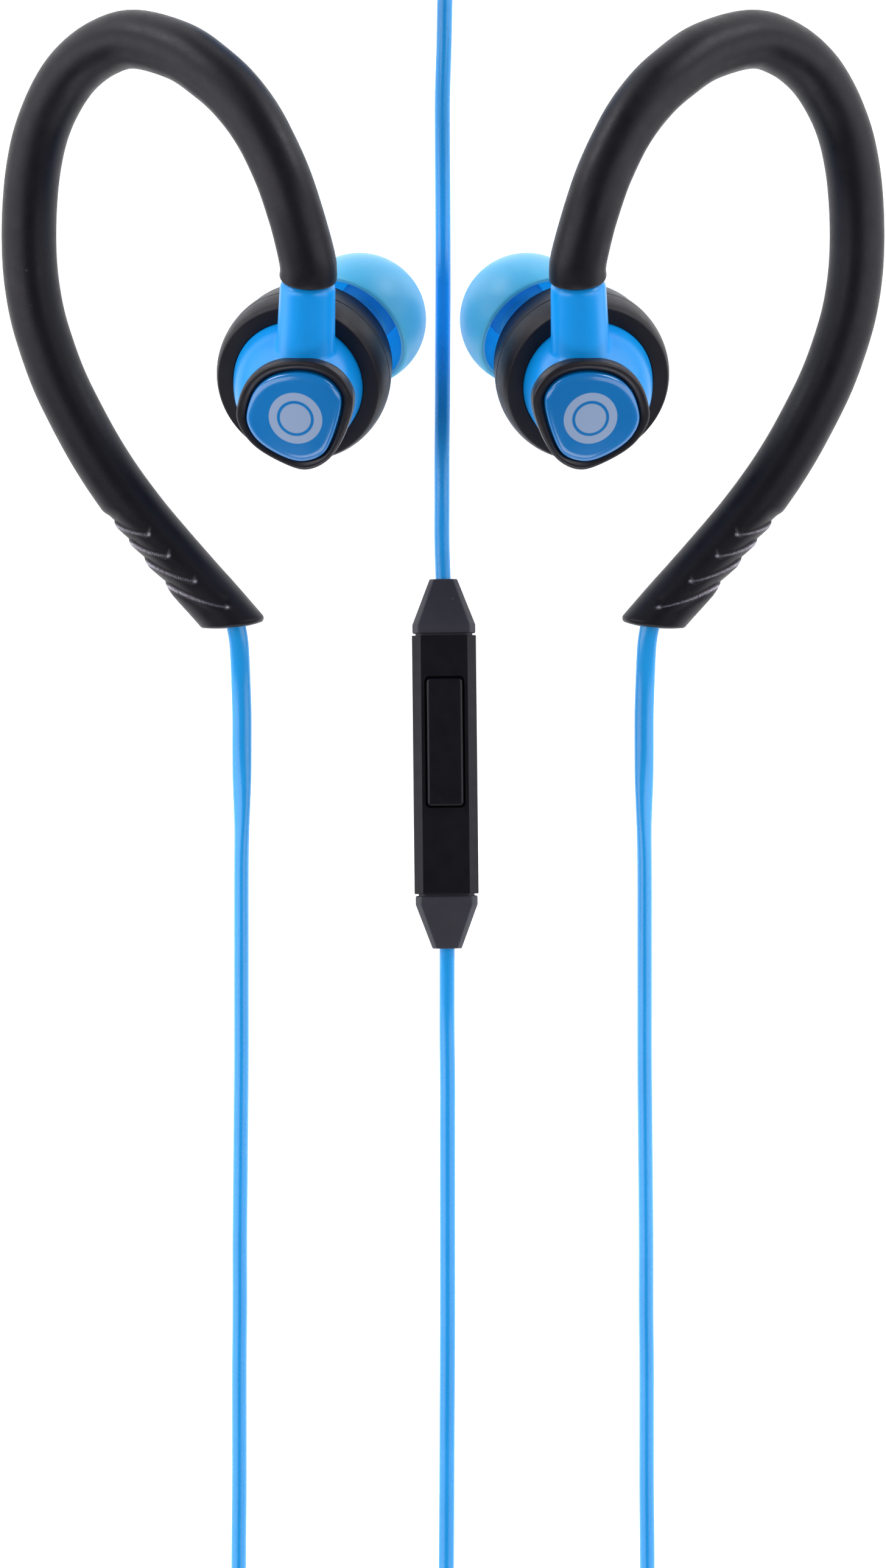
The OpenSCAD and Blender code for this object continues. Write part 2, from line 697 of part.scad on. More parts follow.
color(blue) cord(main_tail_pts, main_cord_d);  // main_tail
plug_relief();
plug_grip();
plug_insulator();
plug_sleeve_contact();
plug_ring_two();
plug_ring_one();
plug_tip_contact();
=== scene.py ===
import math
import bpy
import bmesh
import numpy as np
from mathutils import Matrix, Vector


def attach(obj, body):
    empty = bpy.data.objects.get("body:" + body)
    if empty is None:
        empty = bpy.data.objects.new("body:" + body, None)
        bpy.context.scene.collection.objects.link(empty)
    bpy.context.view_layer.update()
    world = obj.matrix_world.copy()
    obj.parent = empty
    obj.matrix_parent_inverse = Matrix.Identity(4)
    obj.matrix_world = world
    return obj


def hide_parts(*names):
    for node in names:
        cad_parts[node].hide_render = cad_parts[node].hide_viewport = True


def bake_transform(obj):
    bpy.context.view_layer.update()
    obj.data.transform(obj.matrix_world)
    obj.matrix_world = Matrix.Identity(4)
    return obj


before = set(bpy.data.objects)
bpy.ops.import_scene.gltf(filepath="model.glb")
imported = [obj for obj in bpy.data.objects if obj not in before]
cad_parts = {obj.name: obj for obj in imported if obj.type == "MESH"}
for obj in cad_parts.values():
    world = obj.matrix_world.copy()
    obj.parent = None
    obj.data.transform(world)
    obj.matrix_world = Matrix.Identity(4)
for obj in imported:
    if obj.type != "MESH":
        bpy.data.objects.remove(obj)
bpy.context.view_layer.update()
MM = 0.001
SIDES = ("left", "right")


# ---------------------------------------------------------------- geometry helpers
def unit(v):
    v = np.asarray(v, float)
    return v / np.linalg.norm(v)


def rot(axis, degrees):
    return np.array(Matrix.Rotation(math.radians(degrees), 3, axis))


def spline(points, step, sub=24):
    """Points on a Catmull-Rom curve through the given ones, about step apart."""
    p = np.asarray(points, float)
    p = np.vstack([2 * p[0] - p[1], p, 2 * p[-1] - p[-2]])
    t = np.linspace(0, 1, sub, endpoint=False)[:, None]
    out = []
    for a, b, c, d in zip(p, p[1:], p[2:], p[3:]):
        out.append(0.5 * (2 * b + (c - a) * t + (2 * a - 5 * b + 4 * c - d) * t**2
                          + (3 * b - a - 3 * c + d) * t**3))
    q = np.vstack(out + [p[-2][None]])
    s = np.concatenate([[0], np.cumsum(np.linalg.norm(np.diff(q, axis=0), axis=1))])
    n = max(2, int(round(s[-1] / step)) + 1)
    u = np.linspace(0, s[-1], n)
    return np.stack([np.interp(u, s, q[:, k]) for k in range(3)], 1)


def closed_spline(points, sub):
    """The same kind of curve through a closed ring of points, with sub points for each one."""
    p = np.asarray(points, float)
    t = np.linspace(0, 1, sub, endpoint=False)[:, None]
    out = []
    for i in range(len(p)):
        a, b, c, d = p[i - 1], p[i], p[(i + 1) % len(p)], p[(i + 2) % len(p)]
        out.append(0.5 * (2 * b + (c - a) * t + (2 * a - 5 * b + 4 * c - d) * t**2
                          + (3 * b - a - 3 * c + d) * t**3))
    return np.vstack(out)


def smooth(a, b, x):
    """0 at a, 1 at b, with a soft start and end."""
    t = np.clip((x - a) / (b - a), 0, 1)
    return t * t * (3 - 2 * t)


def tangents(p):
    t = np.gradient(p, axis=0)
    return t / np.linalg.norm(t, axis=1)[:, None]


def fillet(points, radii, seg):
    """A polyline with each corner rounded by about its own radius."""
    p = np.asarray(points, float)
    out = []
    for i, q in enumerate(p):
        r = radii[i] if hasattr(radii, "__len__") else radii
        if r <= 0 or i in (0, len(p) - 1):
            out.append(q)
            continue
        a, b = p[i - 1] - q, p[i + 1] - q
        r = min(r, 0.49 * np.linalg.norm(a), 0.49 * np.linalg.norm(b))
        a, b = q + unit(a) * r, q + unit(b) * r
        for t in np.linspace(0, 1, seg + 1):
            out.append((1 - t) ** 2 * a + 2 * t * (1 - t) * q + t * t * b)
    return np.array(out)


def ring_faces(m, n, closed_m=False):
    """The faces between m rings of n points each; closed_m joins the last ring to the first."""
    faces = []
    for i in range(m if closed_m else m - 1):
        j = (i + 1) % m
        for k in range(n):
            l = (k + 1) % n
            faces.append((i * n + k, i * n + l, j * n + l, j * n + k))
    return faces


def loft(rings, cap_a=True, cap_b=True, closed=False):
    """A skin over rings of equal size; each cap is a fan on the ring's centre."""
    rings = np.asarray(rings, float)
    m, n = rings.shape[:2]
    verts = list(rings.reshape(-1, 3))
    faces = ring_faces(m, n, closed)
    if cap_a and not closed:
        verts.append(rings[0].mean(0))
        c = len(verts) - 1
        faces += [(c, (k + 1) % n, k) for k in range(n)]
    if cap_b and not closed:
        verts.append(rings[-1].mean(0))
        c = len(verts) - 1
        o = (m - 1) * n
        faces += [(c, o + k, o + (k + 1) % n) for k in range(n)]
    return np.array(verts), faces


def lathe(profile, n, closed=False):
    """A surface turned about Z from (radius, z) pairs."""
    a = np.linspace(0, 2 * math.pi, n, endpoint=False)
    rings = [np.stack([r * np.cos(a), r * np.sin(a), np.full(n, z)], 1) for r, z in profile]
    return loft(rings, closed=closed)


def mesh_piece(name, verts, faces, material, side="left", smooth=True, sharp=None):
    """A mesh piece in metres from millimetres; the right side is the left's mirror image."""
    v = np.array(verts, float) * MM
    if side == "right":
        v[:, 0] *= -1
        faces = [tuple(reversed(f)) for f in faces]
    me = bpy.data.meshes.new(name)
    me.from_pydata([tuple(x) for x in v], [], [tuple(int(i) for i in f) for f in faces])
    bm = bmesh.new()
    bm.from_mesh(me)
    bmesh.ops.remove_doubles(bm, verts=bm.verts, dist=1e-7)
    bmesh.ops.recalc_face_normals(bm, faces=bm.faces)
    bm.to_mesh(me)
    bm.free()
    me.validate()
    o = bpy.data.objects.new(name, me)
    bpy.context.scene.collection.objects.link(o)
    if smooth:
        me.shade_smooth()
    if sharp:
        me.set_sharp_from_angle(angle=math.radians(sharp))
    me.materials.append(material)
    return o


def apply_modifiers(o):
    """Puts the modified mesh in the piece's own place."""
    dg = bpy.context.evaluated_depsgraph_get()
    me = bpy.data.meshes.new_from_object(o.evaluated_get(dg))
    o.modifiers.clear()
    o.data = me


# ---------------------------------------------------------------- materials
class Nodes:
    """A small builder for one Principled material."""

    def __init__(self, name, **sockets):
        self.m = bpy.data.materials.new(name)
        self.m.use_nodes = True
        self.t = self.m.node_tree
        self.p = self.t.nodes["Principled BSDF"]
        for k, v in sockets.items():
            self.p.inputs[k.replace("_", " ")].default_value = v
        self.coord = self.t.nodes.new("ShaderNodeTexCoord").outputs["Object"]

    def new(self, kind, **values):
        n = self.t.nodes.new("ShaderNode" + kind)
        for k, v in values.items():
            setattr(n, k, v)
        return n

    def link(self, a, b):
        self.t.links.new(a, b)

    def noise(self, scale, detail=3, rough=0.5, vector=None):
        n = self.new("TexNoise")
        n.inputs["Scale"].default_value = scale
        n.inputs["Detail"].default_value = detail
        n.inputs["Roughness"].default_value = rough
        self.link(vector or self.coord, n.inputs["Vector"])
        return n.outputs["Fac"]

    def spots(self, scale, size):
        """1 inside small scattered spots, 0 elsewhere."""
        v = self.new("TexVoronoi")
        v.inputs["Scale"].default_value = scale
        self.link(self.coord, v.inputs["Vector"])
        return self.remap(v.outputs["Distance"], 0, size, 1, 0)

    def remap(self, value, a, b, c, d):
        r = self.new("MapRange")
        for k, x in zip(("From Min", "From Max", "To Min", "To Max"), (a, b, c, d)):
            r.inputs[k].default_value = x
        self.link(value, r.inputs["Value"])
        return r.outputs["Result"]

    def math(self, op, a, b=0.0):
        n = self.new("Math", operation=op)
        for i, x in enumerate((a, b)):
            if hasattr(x, "links"):
                self.link(x, n.inputs[i])
            else:
                n.inputs[i].default_value = x
        return n.outputs[0]

    def mix(self, fac, a, b):
        n = self.new("Mix", data_type="RGBA")
        self.link(fac, n.inputs["Factor"])
        for i, x in (("A", a), ("B", b)):
            socket = [s for s in n.inputs if s.name == i and s.type == "RGBA"][0]
            if hasattr(x, "links"):
                self.link(x, socket)
            else:
                socket.default_value = (*x, 1)
        return [s for s in n.outputs if s.type == "RGBA"][0]

    def color(self, out):
        self.link(out, self.p.inputs["Base Color"])

    def rough(self, out):
        self.link(out, self.p.inputs["Roughness"])

    def bump(self, height, strength, distance):
        b = self.new("Bump")
        b.inputs["Strength"].default_value = strength
        b.inputs["Distance"].default_value = distance
        self.link(height, b.inputs["Height"])
        self.link(b.outputs["Normal"], self.p.inputs["Normal"])


def black_rubber(name, base, light, rough, grain, depth, dust=0.35, shine=0.25, grip_glints=False):
    """Moulded black rubber or plastic: fine grain, patchy sheen, a little dust and, for the grips, a painted
    highlight along their ridges.
    """
    n = Nodes(name, Specular_IOR_Level=shine, Specular_Tint=(0.94, 0.92, 1.0, 1))
    patch = n.noise(160, 4)
    tone = n.mix(n.remap(patch, 0.3, 0.75, 0, 1), base, light)
    fleck = n.math("MULTIPLY", n.spots(330, 0.055),
                   n.remap(n.noise(90, 2), 0.56, 0.64, 0, dust))
    tone = n.mix(fleck, tone, (0.32, 0.32, 0.34))
    if grip_glints:
        # painted highlight: a grainy pale colour along the grip ridges stands in for the glints of light on
        # their edges
        painted_glint = n.new("Attribute", attribute_name="lip_glint").outputs["Fac"]
        painted_glint = n.math("MULTIPLY", painted_glint, n.remap(n.noise(6500, 2, 0.6), 0.35, 0.6, 0.25, 1))
        tone = n.mix(painted_glint, tone, (0.58, 0.55, 0.66))
    n.color(tone)
    wear = n.noise(700, 5, 0.65)
    n.rough(n.remap(wear, 0.25, 0.8, rough - 0.06, rough + 0.1))
    n.bump(n.noise(grain, 2, 0.6), 0.35, depth * MM)
    return n.m


def printed(n, under):
    """The print on the cap: a plain pale disc with one thin ring left in the colour under it."""
    uv = n.new("UVMap", uv_map="print").outputs["UV"]
    sep = n.new("SeparateXYZ")
    n.link(uv, sep.inputs["Vector"])
    x = n.math("SUBTRACT", sep.outputs["X"], 0.5)
    y = n.math("SUBTRACT", sep.outputs["Y"], 0.5)
    r = n.math("SQRT", n.math("ADD", n.math("MULTIPLY", x, x), n.math("MULTIPLY", y, y)))
    disc = n.remap(r, 0.262, 0.268, 1, 0)
    ring = n.math("MULTIPLY", n.remap(r, 0.150, 0.156, 0, 1), n.remap(r, 0.180, 0.186, 1, 0))
    ink = n.math("SUBTRACT", disc, n.math("MULTIPLY", ring, disc))
    ink = n.math("MULTIPLY", ink, n.remap(n.noise(90, 2, 0.5, uv), 0.3, 0.7, 0.9, 1.0))
    return n.mix(ink, under, (0.30, 0.39, 0.58))


def blue_plastic(name, base, light, rough, grain=5200, depth=0.02, mark=False, glow=0.0, **extra):
    """Moulded blue plastic, rubber or silicone: soft changes of tone and sheen, fine grain."""
    n = Nodes(name, **extra)
    tone = n.mix(n.remap(n.noise(120, 3), 0.3, 0.7, 0, 1), base, light)
    n.color(printed(n, tone) if mark else tone)
    n.rough(n.remap(n.noise(500, 1), 0.3, 0.75, rough - 0.02, rough + 0.03))
    n.bump(n.noise(grain, 2, 0.55), 0.2, depth * MM)
    if glow:
        # painted glow on the faces marked "inside", standing in for light that has come through the wall
        inside = n.new("Attribute", attribute_name="inside").outputs["Fac"]
        n.link(n.math("MULTIPLY", inside, glow), n.p.inputs["Emission Strength"])
    return n.m


def drawn_surface(name, base, light, rough, grain, stretch=(1, 1, 1), metallic=1.0):
    """Metal, film or board: streaks along the way it was drawn, rolled or turned."""
    n = Nodes(name, Metallic=metallic)
    mp = n.new("Mapping")
    mp.inputs["Scale"].default_value = stretch
    n.link(n.coord, mp.inputs["Vector"])
    streak = n.noise(grain, 4, 0.6, mp.outputs["Vector"])
    n.color(n.mix(n.remap(streak, 0.3, 0.7, 0, 1), base, light))
    n.rough(n.remap(streak, 0.25, 0.75, rough - 0.06, rough + 0.1))
    n.bump(streak, 0.25, 0.008 * MM)
    return n.m


MAT = {
    "sleeve": black_rubber("sleeve_rubber", (0.003, 0.0026, 0.0052), (0.005, 0.0044, 0.0082),
                           0.42, 5200, 0.03, grip_glints=True),
    "collar": black_rubber("collar_plastic", (0.0075, 0.007, 0.010), (0.012, 0.011, 0.015),
                           0.44, 6500, 0.025, dust=0.5),
    "bezel": black_rubber("bezel_plastic", (0.0075, 0.007, 0.010), (0.012, 0.011, 0.015),
                          0.33, 7000, 0.018, dust=0.15, shine=0.4),
    "remote": black_rubber("remote_plastic", (0.0035, 0.0032, 0.0052), (0.0055, 0.005, 0.0078),
                           0.36, 8500, 0.012, dust=0.3, shine=0.2),
    "boot": black_rubber("boot_rubber", (0.027, 0.026, 0.036), (0.039, 0.038, 0.050),
                         0.50, 7500, 0.05, dust=0.25),
    "shell": blue_plastic("shell_blue", (0.0005, 0.275, 0.76), (0.001, 0.30, 0.82),
                          0.30, 5200, 0.006, Specular_IOR_Level=0.38),
    "cap": blue_plastic("cap_blue", (0.0005, 0.15, 0.46), (0.001, 0.17, 0.50), 0.20, 1800, 0.004,
                        mark=True, Specular_IOR_Level=0.4, Coat_Weight=0.5, Coat_Roughness=0.12),
    # painted glow: the whole nozzle gives off a faint blue light, standing in for the light around it inside
    # the ear tip
    "nozzle": blue_plastic("nozzle_blue_glow", (0.0005, 0.24, 0.72), (0.001, 0.26, 0.78), 0.30, 5200, 0.006,
                           Emission_Color=(0.0, 0.41, 1.0, 1), Emission_Strength=0.25),
    "cord": blue_plastic("cord_blue", (0.006, 0.315, 0.78), (0.012, 0.345, 0.84), 0.27, 3000, 0.005,
                         Subsurface_Weight=0.12, Subsurface_Radius=(0.2, 0.6, 1.0),
                         Subsurface_Scale=0.0006),
    "inner_cord": blue_plastic("inner_cord_blue", (0.004, 0.18, 0.56), (0.007, 0.21, 0.62), 0.4),
    # painted glow: the ear tip's inner faces give off a faint blue light, standing in for light that passes
    # through the silicone
    "tip": blue_plastic("tip_silicone", (0.07, 0.47, 0.87), (0.09, 0.51, 0.90), 0.42, 4200, 0.012,
                        Subsurface_Weight=0.75, Subsurface_Radius=(0.5, 0.9, 1.0),
                        Subsurface_Scale=0.0020, Sheen_Weight=0.2, Sheen_Roughness=0.5,
                        glow=0.07, Emission_Color=(0.0, 0.42, 1.0, 1)),
    "steel": drawn_surface("spring_steel", (0.40, 0.40, 0.41), (0.60, 0.60, 0.60), 0.28, 900, (1, 1, 6)),
    "gold": drawn_surface("contact_gold", (0.80, 0.58, 0.26), (0.93, 0.74, 0.40), 0.18, 1400, (1, 8, 1)),
    "film": drawn_surface("driver_film", (0.50, 0.34, 0.10), (0.66, 0.48, 0.18), 0.3, 600, metallic=0.3),
    "board": drawn_surface("board_green", (0.012, 0.11, 0.05), (0.03, 0.20, 0.09), 0.38, 1100,
                           (6, 1, 1), metallic=0.0),
}


# ---------------------------------------------------------------- camera, light, floor
scene = bpy.context.scene
cam_data = bpy.data.cameras.new("camera")
cam_data.lens = 300
cam_data.sensor_width = 36
cam_data.clip_start = 0.02
cam_data.clip_end = 20
cam = bpy.data.objects.new("camera", cam_data)
scene.collection.objects.link(cam)
cam.location = (0, -0.04581, 1.288)
cam.rotation_euler = (0, 0, 0)
scene.camera = cam
scene.view_settings.view_transform = "Standard"

world = bpy.data.worlds.new("studio")
scene.world = world
world.use_nodes = True
world.node_tree.nodes["Background"].inputs["Color"].default_value = (0.93, 0.95, 1.0, 1)
world.node_tree.nodes["Background"].inputs["Strength"].default_value = 0.20


def softbox(name, at, aim, size, power):
    """A warm rectangular light at a place, turned to shine on another."""
    d = bpy.data.lights.new(name, "AREA")
    d.shape = "RECTANGLE"
    d.size, d.size_y = size
    d.energy = power
    d.color = (1.0, 0.985, 0.97)
    o = bpy.data.objects.new(name, d)
    scene.collection.objects.link(o)
    o.location = at
    o.rotation_euler = (Vector(aim) - Vector(at)).to_track_quat("-Z", "Y").to_euler()


softbox("softbox_left", (-0.60, 0.0, 0.32), (0, -0.03, 0.0), (0.42, 0.9), 3.6)
softbox("softbox_right", (0.60, 0.0, 0.32), (0, -0.03, 0.0), (0.42, 0.9), 3.0)
softbox("softbox_back_left", (-0.60, 0.62, 0.22), (-0.02, 0.0, 0.0), (0.42, 0.26), 3.4)
softbox("softbox_back_right", (0.60, 0.62, 0.22), (0.02, 0.0, 0.0), (0.42, 0.26), 3.2)
softbox("softbox_front", (0.0, -0.95, 0.34), (0, -0.05, 0.0), (0.9, 0.34), 3.4)

floor_verts, floor_faces = loft([
    [(x * 1800, y * 1800, -0.02) for x, y in ((-1, -1), (1, -1), (1, 1), (-1, 1))],
    [(x * 1700, y * 1700, 0.0) for x, y in ((-1, -1), (1, -1), (1, 1), (-1, 1))],
], False, True)
paper = Nodes("paper_floor", Specular_IOR_Level=0.15, Emission_Color=(1, 1, 1, 1), Emission_Strength=0.85)
paper.color(paper.mix(paper.noise(25, 3), (0.90, 0.90, 0.905), (0.925, 0.925, 0.93)))
paper.rough(paper.remap(paper.noise(400, 2), 0.3, 0.7, 0.75, 0.85))
floor = mesh_piece("floor", floor_verts - [0, 0, 0.03], floor_faces, paper.m, smooth=False)


# ---------------------------------------------------------------- routes (mm, as in the CAD)
EAR_D, EAR_FLAT, MAIN_D = 1.9, 1.45, 1.5
CORD_STEP = 0.6
# The ear cord's quarter turn lies between these two distances from the origin, along -Y.
TURN_FROM, TURN_TO = 41, 54
# Each coil: the middle of its ring, the radius to the middle strand and that strand's height.
EAR_COIL, EAR_COIL_R, EAR_COIL_Z = (-30.6, -138), 10, 2.9
MAIN_COIL, MAIN_COIL_R, MAIN_COIL_Z = (-9.2, 47), 9, 3.6
EAR_RUN = [
    (-20.55, -29.4, 2.7), (-20.3, -30.5, 2.6), (-20.1, -31.7, 2.4), (-20.0, -33, 2.1), (-19.9, -35.5, 1.5),
    (-19.8, -39, 1.1), (-19.8, -43, 0.95), (-19.8, -49, 0.95), (-19.85, -55, 0.95), (-19.85, -61, 0.95),
    (-19.85, -67, 0.95), (-19.85, -73, 0.95), (-19.9, -79, 0.95), (-19.95, -85, 0.95), (-20.0, -91, 0.95),
    (-20.0, -97, 0.95), (-20.05, -103, 0.95), (-20.05, -109, 0.95), (-20.05, -115, 0.95),
    (-20.1, -121, 0.95), (-20.1, -127, 1.0), (-19.9, -132, 1.4),
]
EAR_TAIL = [
    (-19.7, -141, 3.5), (-19.4, -144, 2.6), (-18.4, -147.3, 1.5), (-16.2, -150.3, 0.95), (-12.4, -152, 0.95),
    (-8, -152.2, 0.95), (-4.2, -150.8, 0.95), (-2.0, -147.4, 1.3), (-1.5, -143.6, 1.9), (-1.5, -142.4, 2.0),
]
MAIN_LOWER = [
    (0.2, -128.5, 2.0), (0.3, -124.5, 1.0), (0.35, -120, 0.75), (0.4, -110, 0.75), (0.45, -100, 0.75),
    (0.45, -90, 0.75), (0.45, -80, 0.75), (0.45, -75, 0.75), (0.4, -70, 0.8), (0.4, -66, 1.3),
    (0.41, -61.6, 2.15),
]
MAIN_UPPER = [
    (0.03, -26.1, 2.15), (-0.1, -22, 1.4), (-0.1, -18, 0.8), (-0.1, -13, 0.75), (-0.05, -8, 0.75),
    (-0.03, -3, 0.75), (0, 2, 0.75), (0, 7, 0.75), (-0.02, 12, 0.75), (-0.05, 17, 0.75),
    (-0.05, 22, 0.75), (0.1, 27, 0.75), (0.2, 32, 0.75), (0.4, 37, 0.95), (0.5, 42, 1.4),
]
MAIN_TAIL = [(-0.2, 49.5, 5.4), (-0.15, 53, 4.8), (-0.1, 57, 3.9), (-0.1, 60, 3.55), (-0.1, 62, 3.5)]
# Where each turn's strand lies in its coil's section: outward and up from the middle.
EAR_SLOTS = [(0.95, -0.95), (-0.95, -0.95), (-0.95, 0.95), (0.95, 0.95)]
MAIN_SLOTS = [
    (0.75, -1.95), (-0.75, -1.95), (-1.5, -0.65), (0, -0.65), (1.5, -0.65), (2.25, 0.65), (0.75, 0.65),
    (-0.75, 0.65), (-2.25, 0.65), (-1.5, 1.95), (0, 1.95),
]


def coil_points(centre, radius, z, slots, turn, per=24):
    """One point every 15 degrees round a coil whose strand moves from slot to slot."""
    pts = []
    for k in range(len(slots)):
        nxt = slots[min(k + 1, len(slots) - 1)]
        for j in range(per):
            u = min(max((j / per - 0.72) / 0.28, 0), 1)
            u = u * u * (3 - 2 * u)
            dr = slots[k][0] * (1 - u) + nxt[0] * u
            dz = slots[k][1] * (1 - u) + nxt[1] * u
            a = turn * 2 * math.pi * j / per
            x = centre[0] + (radius + dr) * math.cos(a)
            pts.append((x, centre[1] + (radius + dr) * math.sin(a), z + dz))
    dr, dz = slots[-1]
    pts.append((centre[0] + radius + dr, centre[1], z + dz))
    return pts


def route_length(q):
    return float(np.linalg.norm(np.diff(q, axis=0), axis=1).sum())


def cord_piece(name, points, diameter):
    """A cord as one curve; returns it with its length and its first point, in metres."""
    q = spline(points, CORD_STEP) * MM
    cu = bpy.data.curves.new(name, "CURVE")
    cu.dimensions = "3D"
    cu.bevel_depth = diameter / 2 * MM
    cu.bevel_resolution = 7
    cu.use_fill_caps = True
    s = cu.splines.new("POLY")
    s.points.add(len(q) - 1)
    s.points.foreach_set("co", np.hstack([q, np.ones((len(q), 1))]).ravel())
    s.use_smooth = True
    cu.materials.append(MAT["cord"])
    o = bpy.data.objects.new(name, cu)
    scene.collection.objects.link(o)
    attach(o, "set")
    return o, route_length(q), tuple(q[0].tolist())


def oval_cord(name, points, side):
    """The ear cord is oval: it lies flat at the hook and turns on edge further on."""
    q = spline(points, CORD_STEP)
    t = tangents(q)
    flat = np.cross([0, 0, 1], t)
    flat /= np.linalg.norm(flat, axis=1)[:, None]
    tall = np.cross(t, flat)
    turn = smooth(TURN_FROM, TURN_TO, -q[:, 1]) * math.pi / 2
    a = (np.cos(turn)[:, None] * flat + np.sin(turn)[:, None] * tall) * EAR_D / 2
    b = (np.cos(turn)[:, None] * tall - np.sin(turn)[:, None] * flat) * EAR_FLAT / 2
    phi = np.linspace(0, 2 * math.pi, 24, endpoint=False)
    rings = [c + np.outer(np.cos(phi), u) + np.outer(np.sin(phi), v) for c, u, v in zip(q, a, b)]
    verts, faces = loft(rings)
    o = mesh_piece(name, verts, faces, MAT["cord"], side)
    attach(o, "set")
    q = q * MM
    if side == "right":
        q[:, 0] *= -1
    return o, route_length(q), tuple(q[0].tolist()), q.tolist()


ear_route = EAR_RUN + coil_points(EAR_COIL, EAR_COIL_R, EAR_COIL_Z, EAR_SLOTS, -1) + EAR_TAIL
upper_route = MAIN_UPPER + coil_points(MAIN_COIL, MAIN_COIL_R, MAIN_COIL_Z, MAIN_SLOTS, 1) + MAIN_TAIL
cords = {}
for side in SIDES:
    piece = oval_cord(side + "_ear_cord_visual", ear_route, side)
    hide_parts(side + "_ear_cord", side + "_ear_coil", side + "_ear_tail")
    cords[side] = piece
cords["lower"] = cord_piece("main_cord_lower_visual", MAIN_LOWER, MAIN_D)
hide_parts("main_cord_lower")
cords["upper"] = cord_piece("main_cord_upper_visual", upper_route, MAIN_D)
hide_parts("main_cord_upper", "main_coil", "main_tail")


# ---------------------------------------------------------------- the earpiece's own frame
# Every shape on the earpiece is given in this frame: its axis is Z, its stem goes along Y.
BUD_AT = np.array([-14.13, -6.8, 14.3])
BUD_R = rot("Y", -12.5) @ rot("X", 23) @ rot("Z", -7)
TIP_AT = np.array([3.22, 2.54, -9.03])
TIP_R = rot("Z", 43.5) @ rot("Y", 180 - 25)
STEM = np.array([1.24, 0, 3.0])
STEM_TOP, SLEEVE_END = 11.9, 12.1


def from_bud(v):
    """From the earpiece's frame to the set's."""
    return np.asarray(v, float) @ BUD_R.T + BUD_AT


def from_tip(v):
    """From the ear tip's frame, whose Z goes out of the nozzle, to the set's."""
    return from_bud(np.asarray(v, float) @ TIP_R.T + TIP_AT)


# ---------------------------------------------------------------- hooks
HOOK = [
    (-13.5, 6.6, 23.3), (-14.4, 9.8, 23.7), (-15.7, 13.5, 23.4), (-17.8, 17.8, 22.2), (-20.1, 21.0, 20.6),
    (-22.5, 23.3, 18.8), (-25.6, 25.5, 16.2), (-30.1, 26.9, 12.6), (-33.4, 26.1, 10.2), (-36.1, 24.1, 8.2),
    (-38.0, 21.4, 6.7), (-39.4, 18.2, 5.3), (-40.2, 14.8, 4.3), (-40.6, 11.2, 3.5), (-40.7, 7.4, 3.0),
    (-40.5, 4.0, 2.8), (-39.9, 0.4, 2.75), (-38.9, -3.0, 2.75), (-37.7, -6.2, 2.75), (-36.2, -9.3, 2.75),
    (-34.3, -12.8, 2.75), (-32.2, -16.1, 2.75), (-29.6, -19.6, 2.75), (-27.0, -22.7, 2.75),
    (-24.2, -25.9, 2.75), (-22.4, -27.9, 2.75), (-20.4, -30.2, 2.75),
]
HOOK_NORMAL = np.array([-0.6, 0, 0.8])
SLEEVE_R = 2.7
# The crown's place along the hook, and how far the grips and the slanted end reach up the tail.
CROWN_AT, GRIP_LEN, SLANT_LEN = 31.5, 17.0, 9.0
# The rounding of the rim on the stem and of the tail's end.
RIM_R, END_R = 0.45, 0.5
# Each grip groove runs from the outer edge inward over the tail: start, end and sag.
GROOVES = [
    ((-32.4, -20.2), (-28.85, -21.3), 0.28), ((-30.6, -22.15), (-26.9, -23.4), 0.28),
    ((-29.2, -23.95), (-24.3, -25.9), 0.30), ((-26.9, -26.4), (-21.15, -28.45), 0.28),
]


def tail_cut(x):
    """The level of the tail's end face: straight on the outside, rising to its inner tip."""
    return -30.7 + 0.035 * np.clip(x + 23.2, 0, 9) ** 2


def hook_frames(p):
    t = tangents(p)
    u = HOOK_NORMAL - (t @ HOOK_NORMAL)[:, None] * t
    u /= np.linalg.norm(u, axis=1)[:, None]
    return t, u, np.cross(t, u)


def groove_depth(x, y):
    """How deep the grips cut into the skin at a plan position, and the mask of the painted highlight along
    the grip ridges there.
    """
    depth, edge = np.zeros_like(x), np.zeros_like(x)
    for (x0, y0), (x1, y1), sag in GROOVES:
        d = np.array([x1 - x0, y1 - y0])
        length = np.linalg.norm(d)
        d = d / length
        a = (x - x0) * d[0] + (y - y0) * d[1]
        t = np.clip(a / length, 0, 1)
        b = -(x - x0) * d[1] + (y - y0) * d[0] + sag * 4 * t * (1 - t)
        wide = 1.7 * (1 - 0.35 * t)
        cut = np.where(b > 0, (1 - np.clip(b / wide, 0, 1)) ** 1.5, 1 - np.sqrt(np.clip(-b / 0.65, 0, 1)))
        fade = smooth(1.02, 0.92, a / length) * (1 - 0.4 * t)
        nub = 0.14 * np.exp(-((a - length) ** 2 + b**2) / 0.03)
        depth = np.maximum(depth, 0.40 * cut * fade) - nub
        # painted highlight mask: a thin line along each ridge edge and a spot at its inner end
        wide = 0.13 - 0.07 * t
        line = np.exp(-((b + 0.06) / wide) ** 2) * smooth(1.0, 0.9, a / length) * (1 - 0.75 * np.sqrt(t))
        glint_spot = np.exp(-((a - length) ** 2 + (b + 0.02) ** 2) / 0.016)
        edge = np.maximum(edge, np.where(a > -1, np.maximum(line, glint_spot), 0))
    return depth, edge


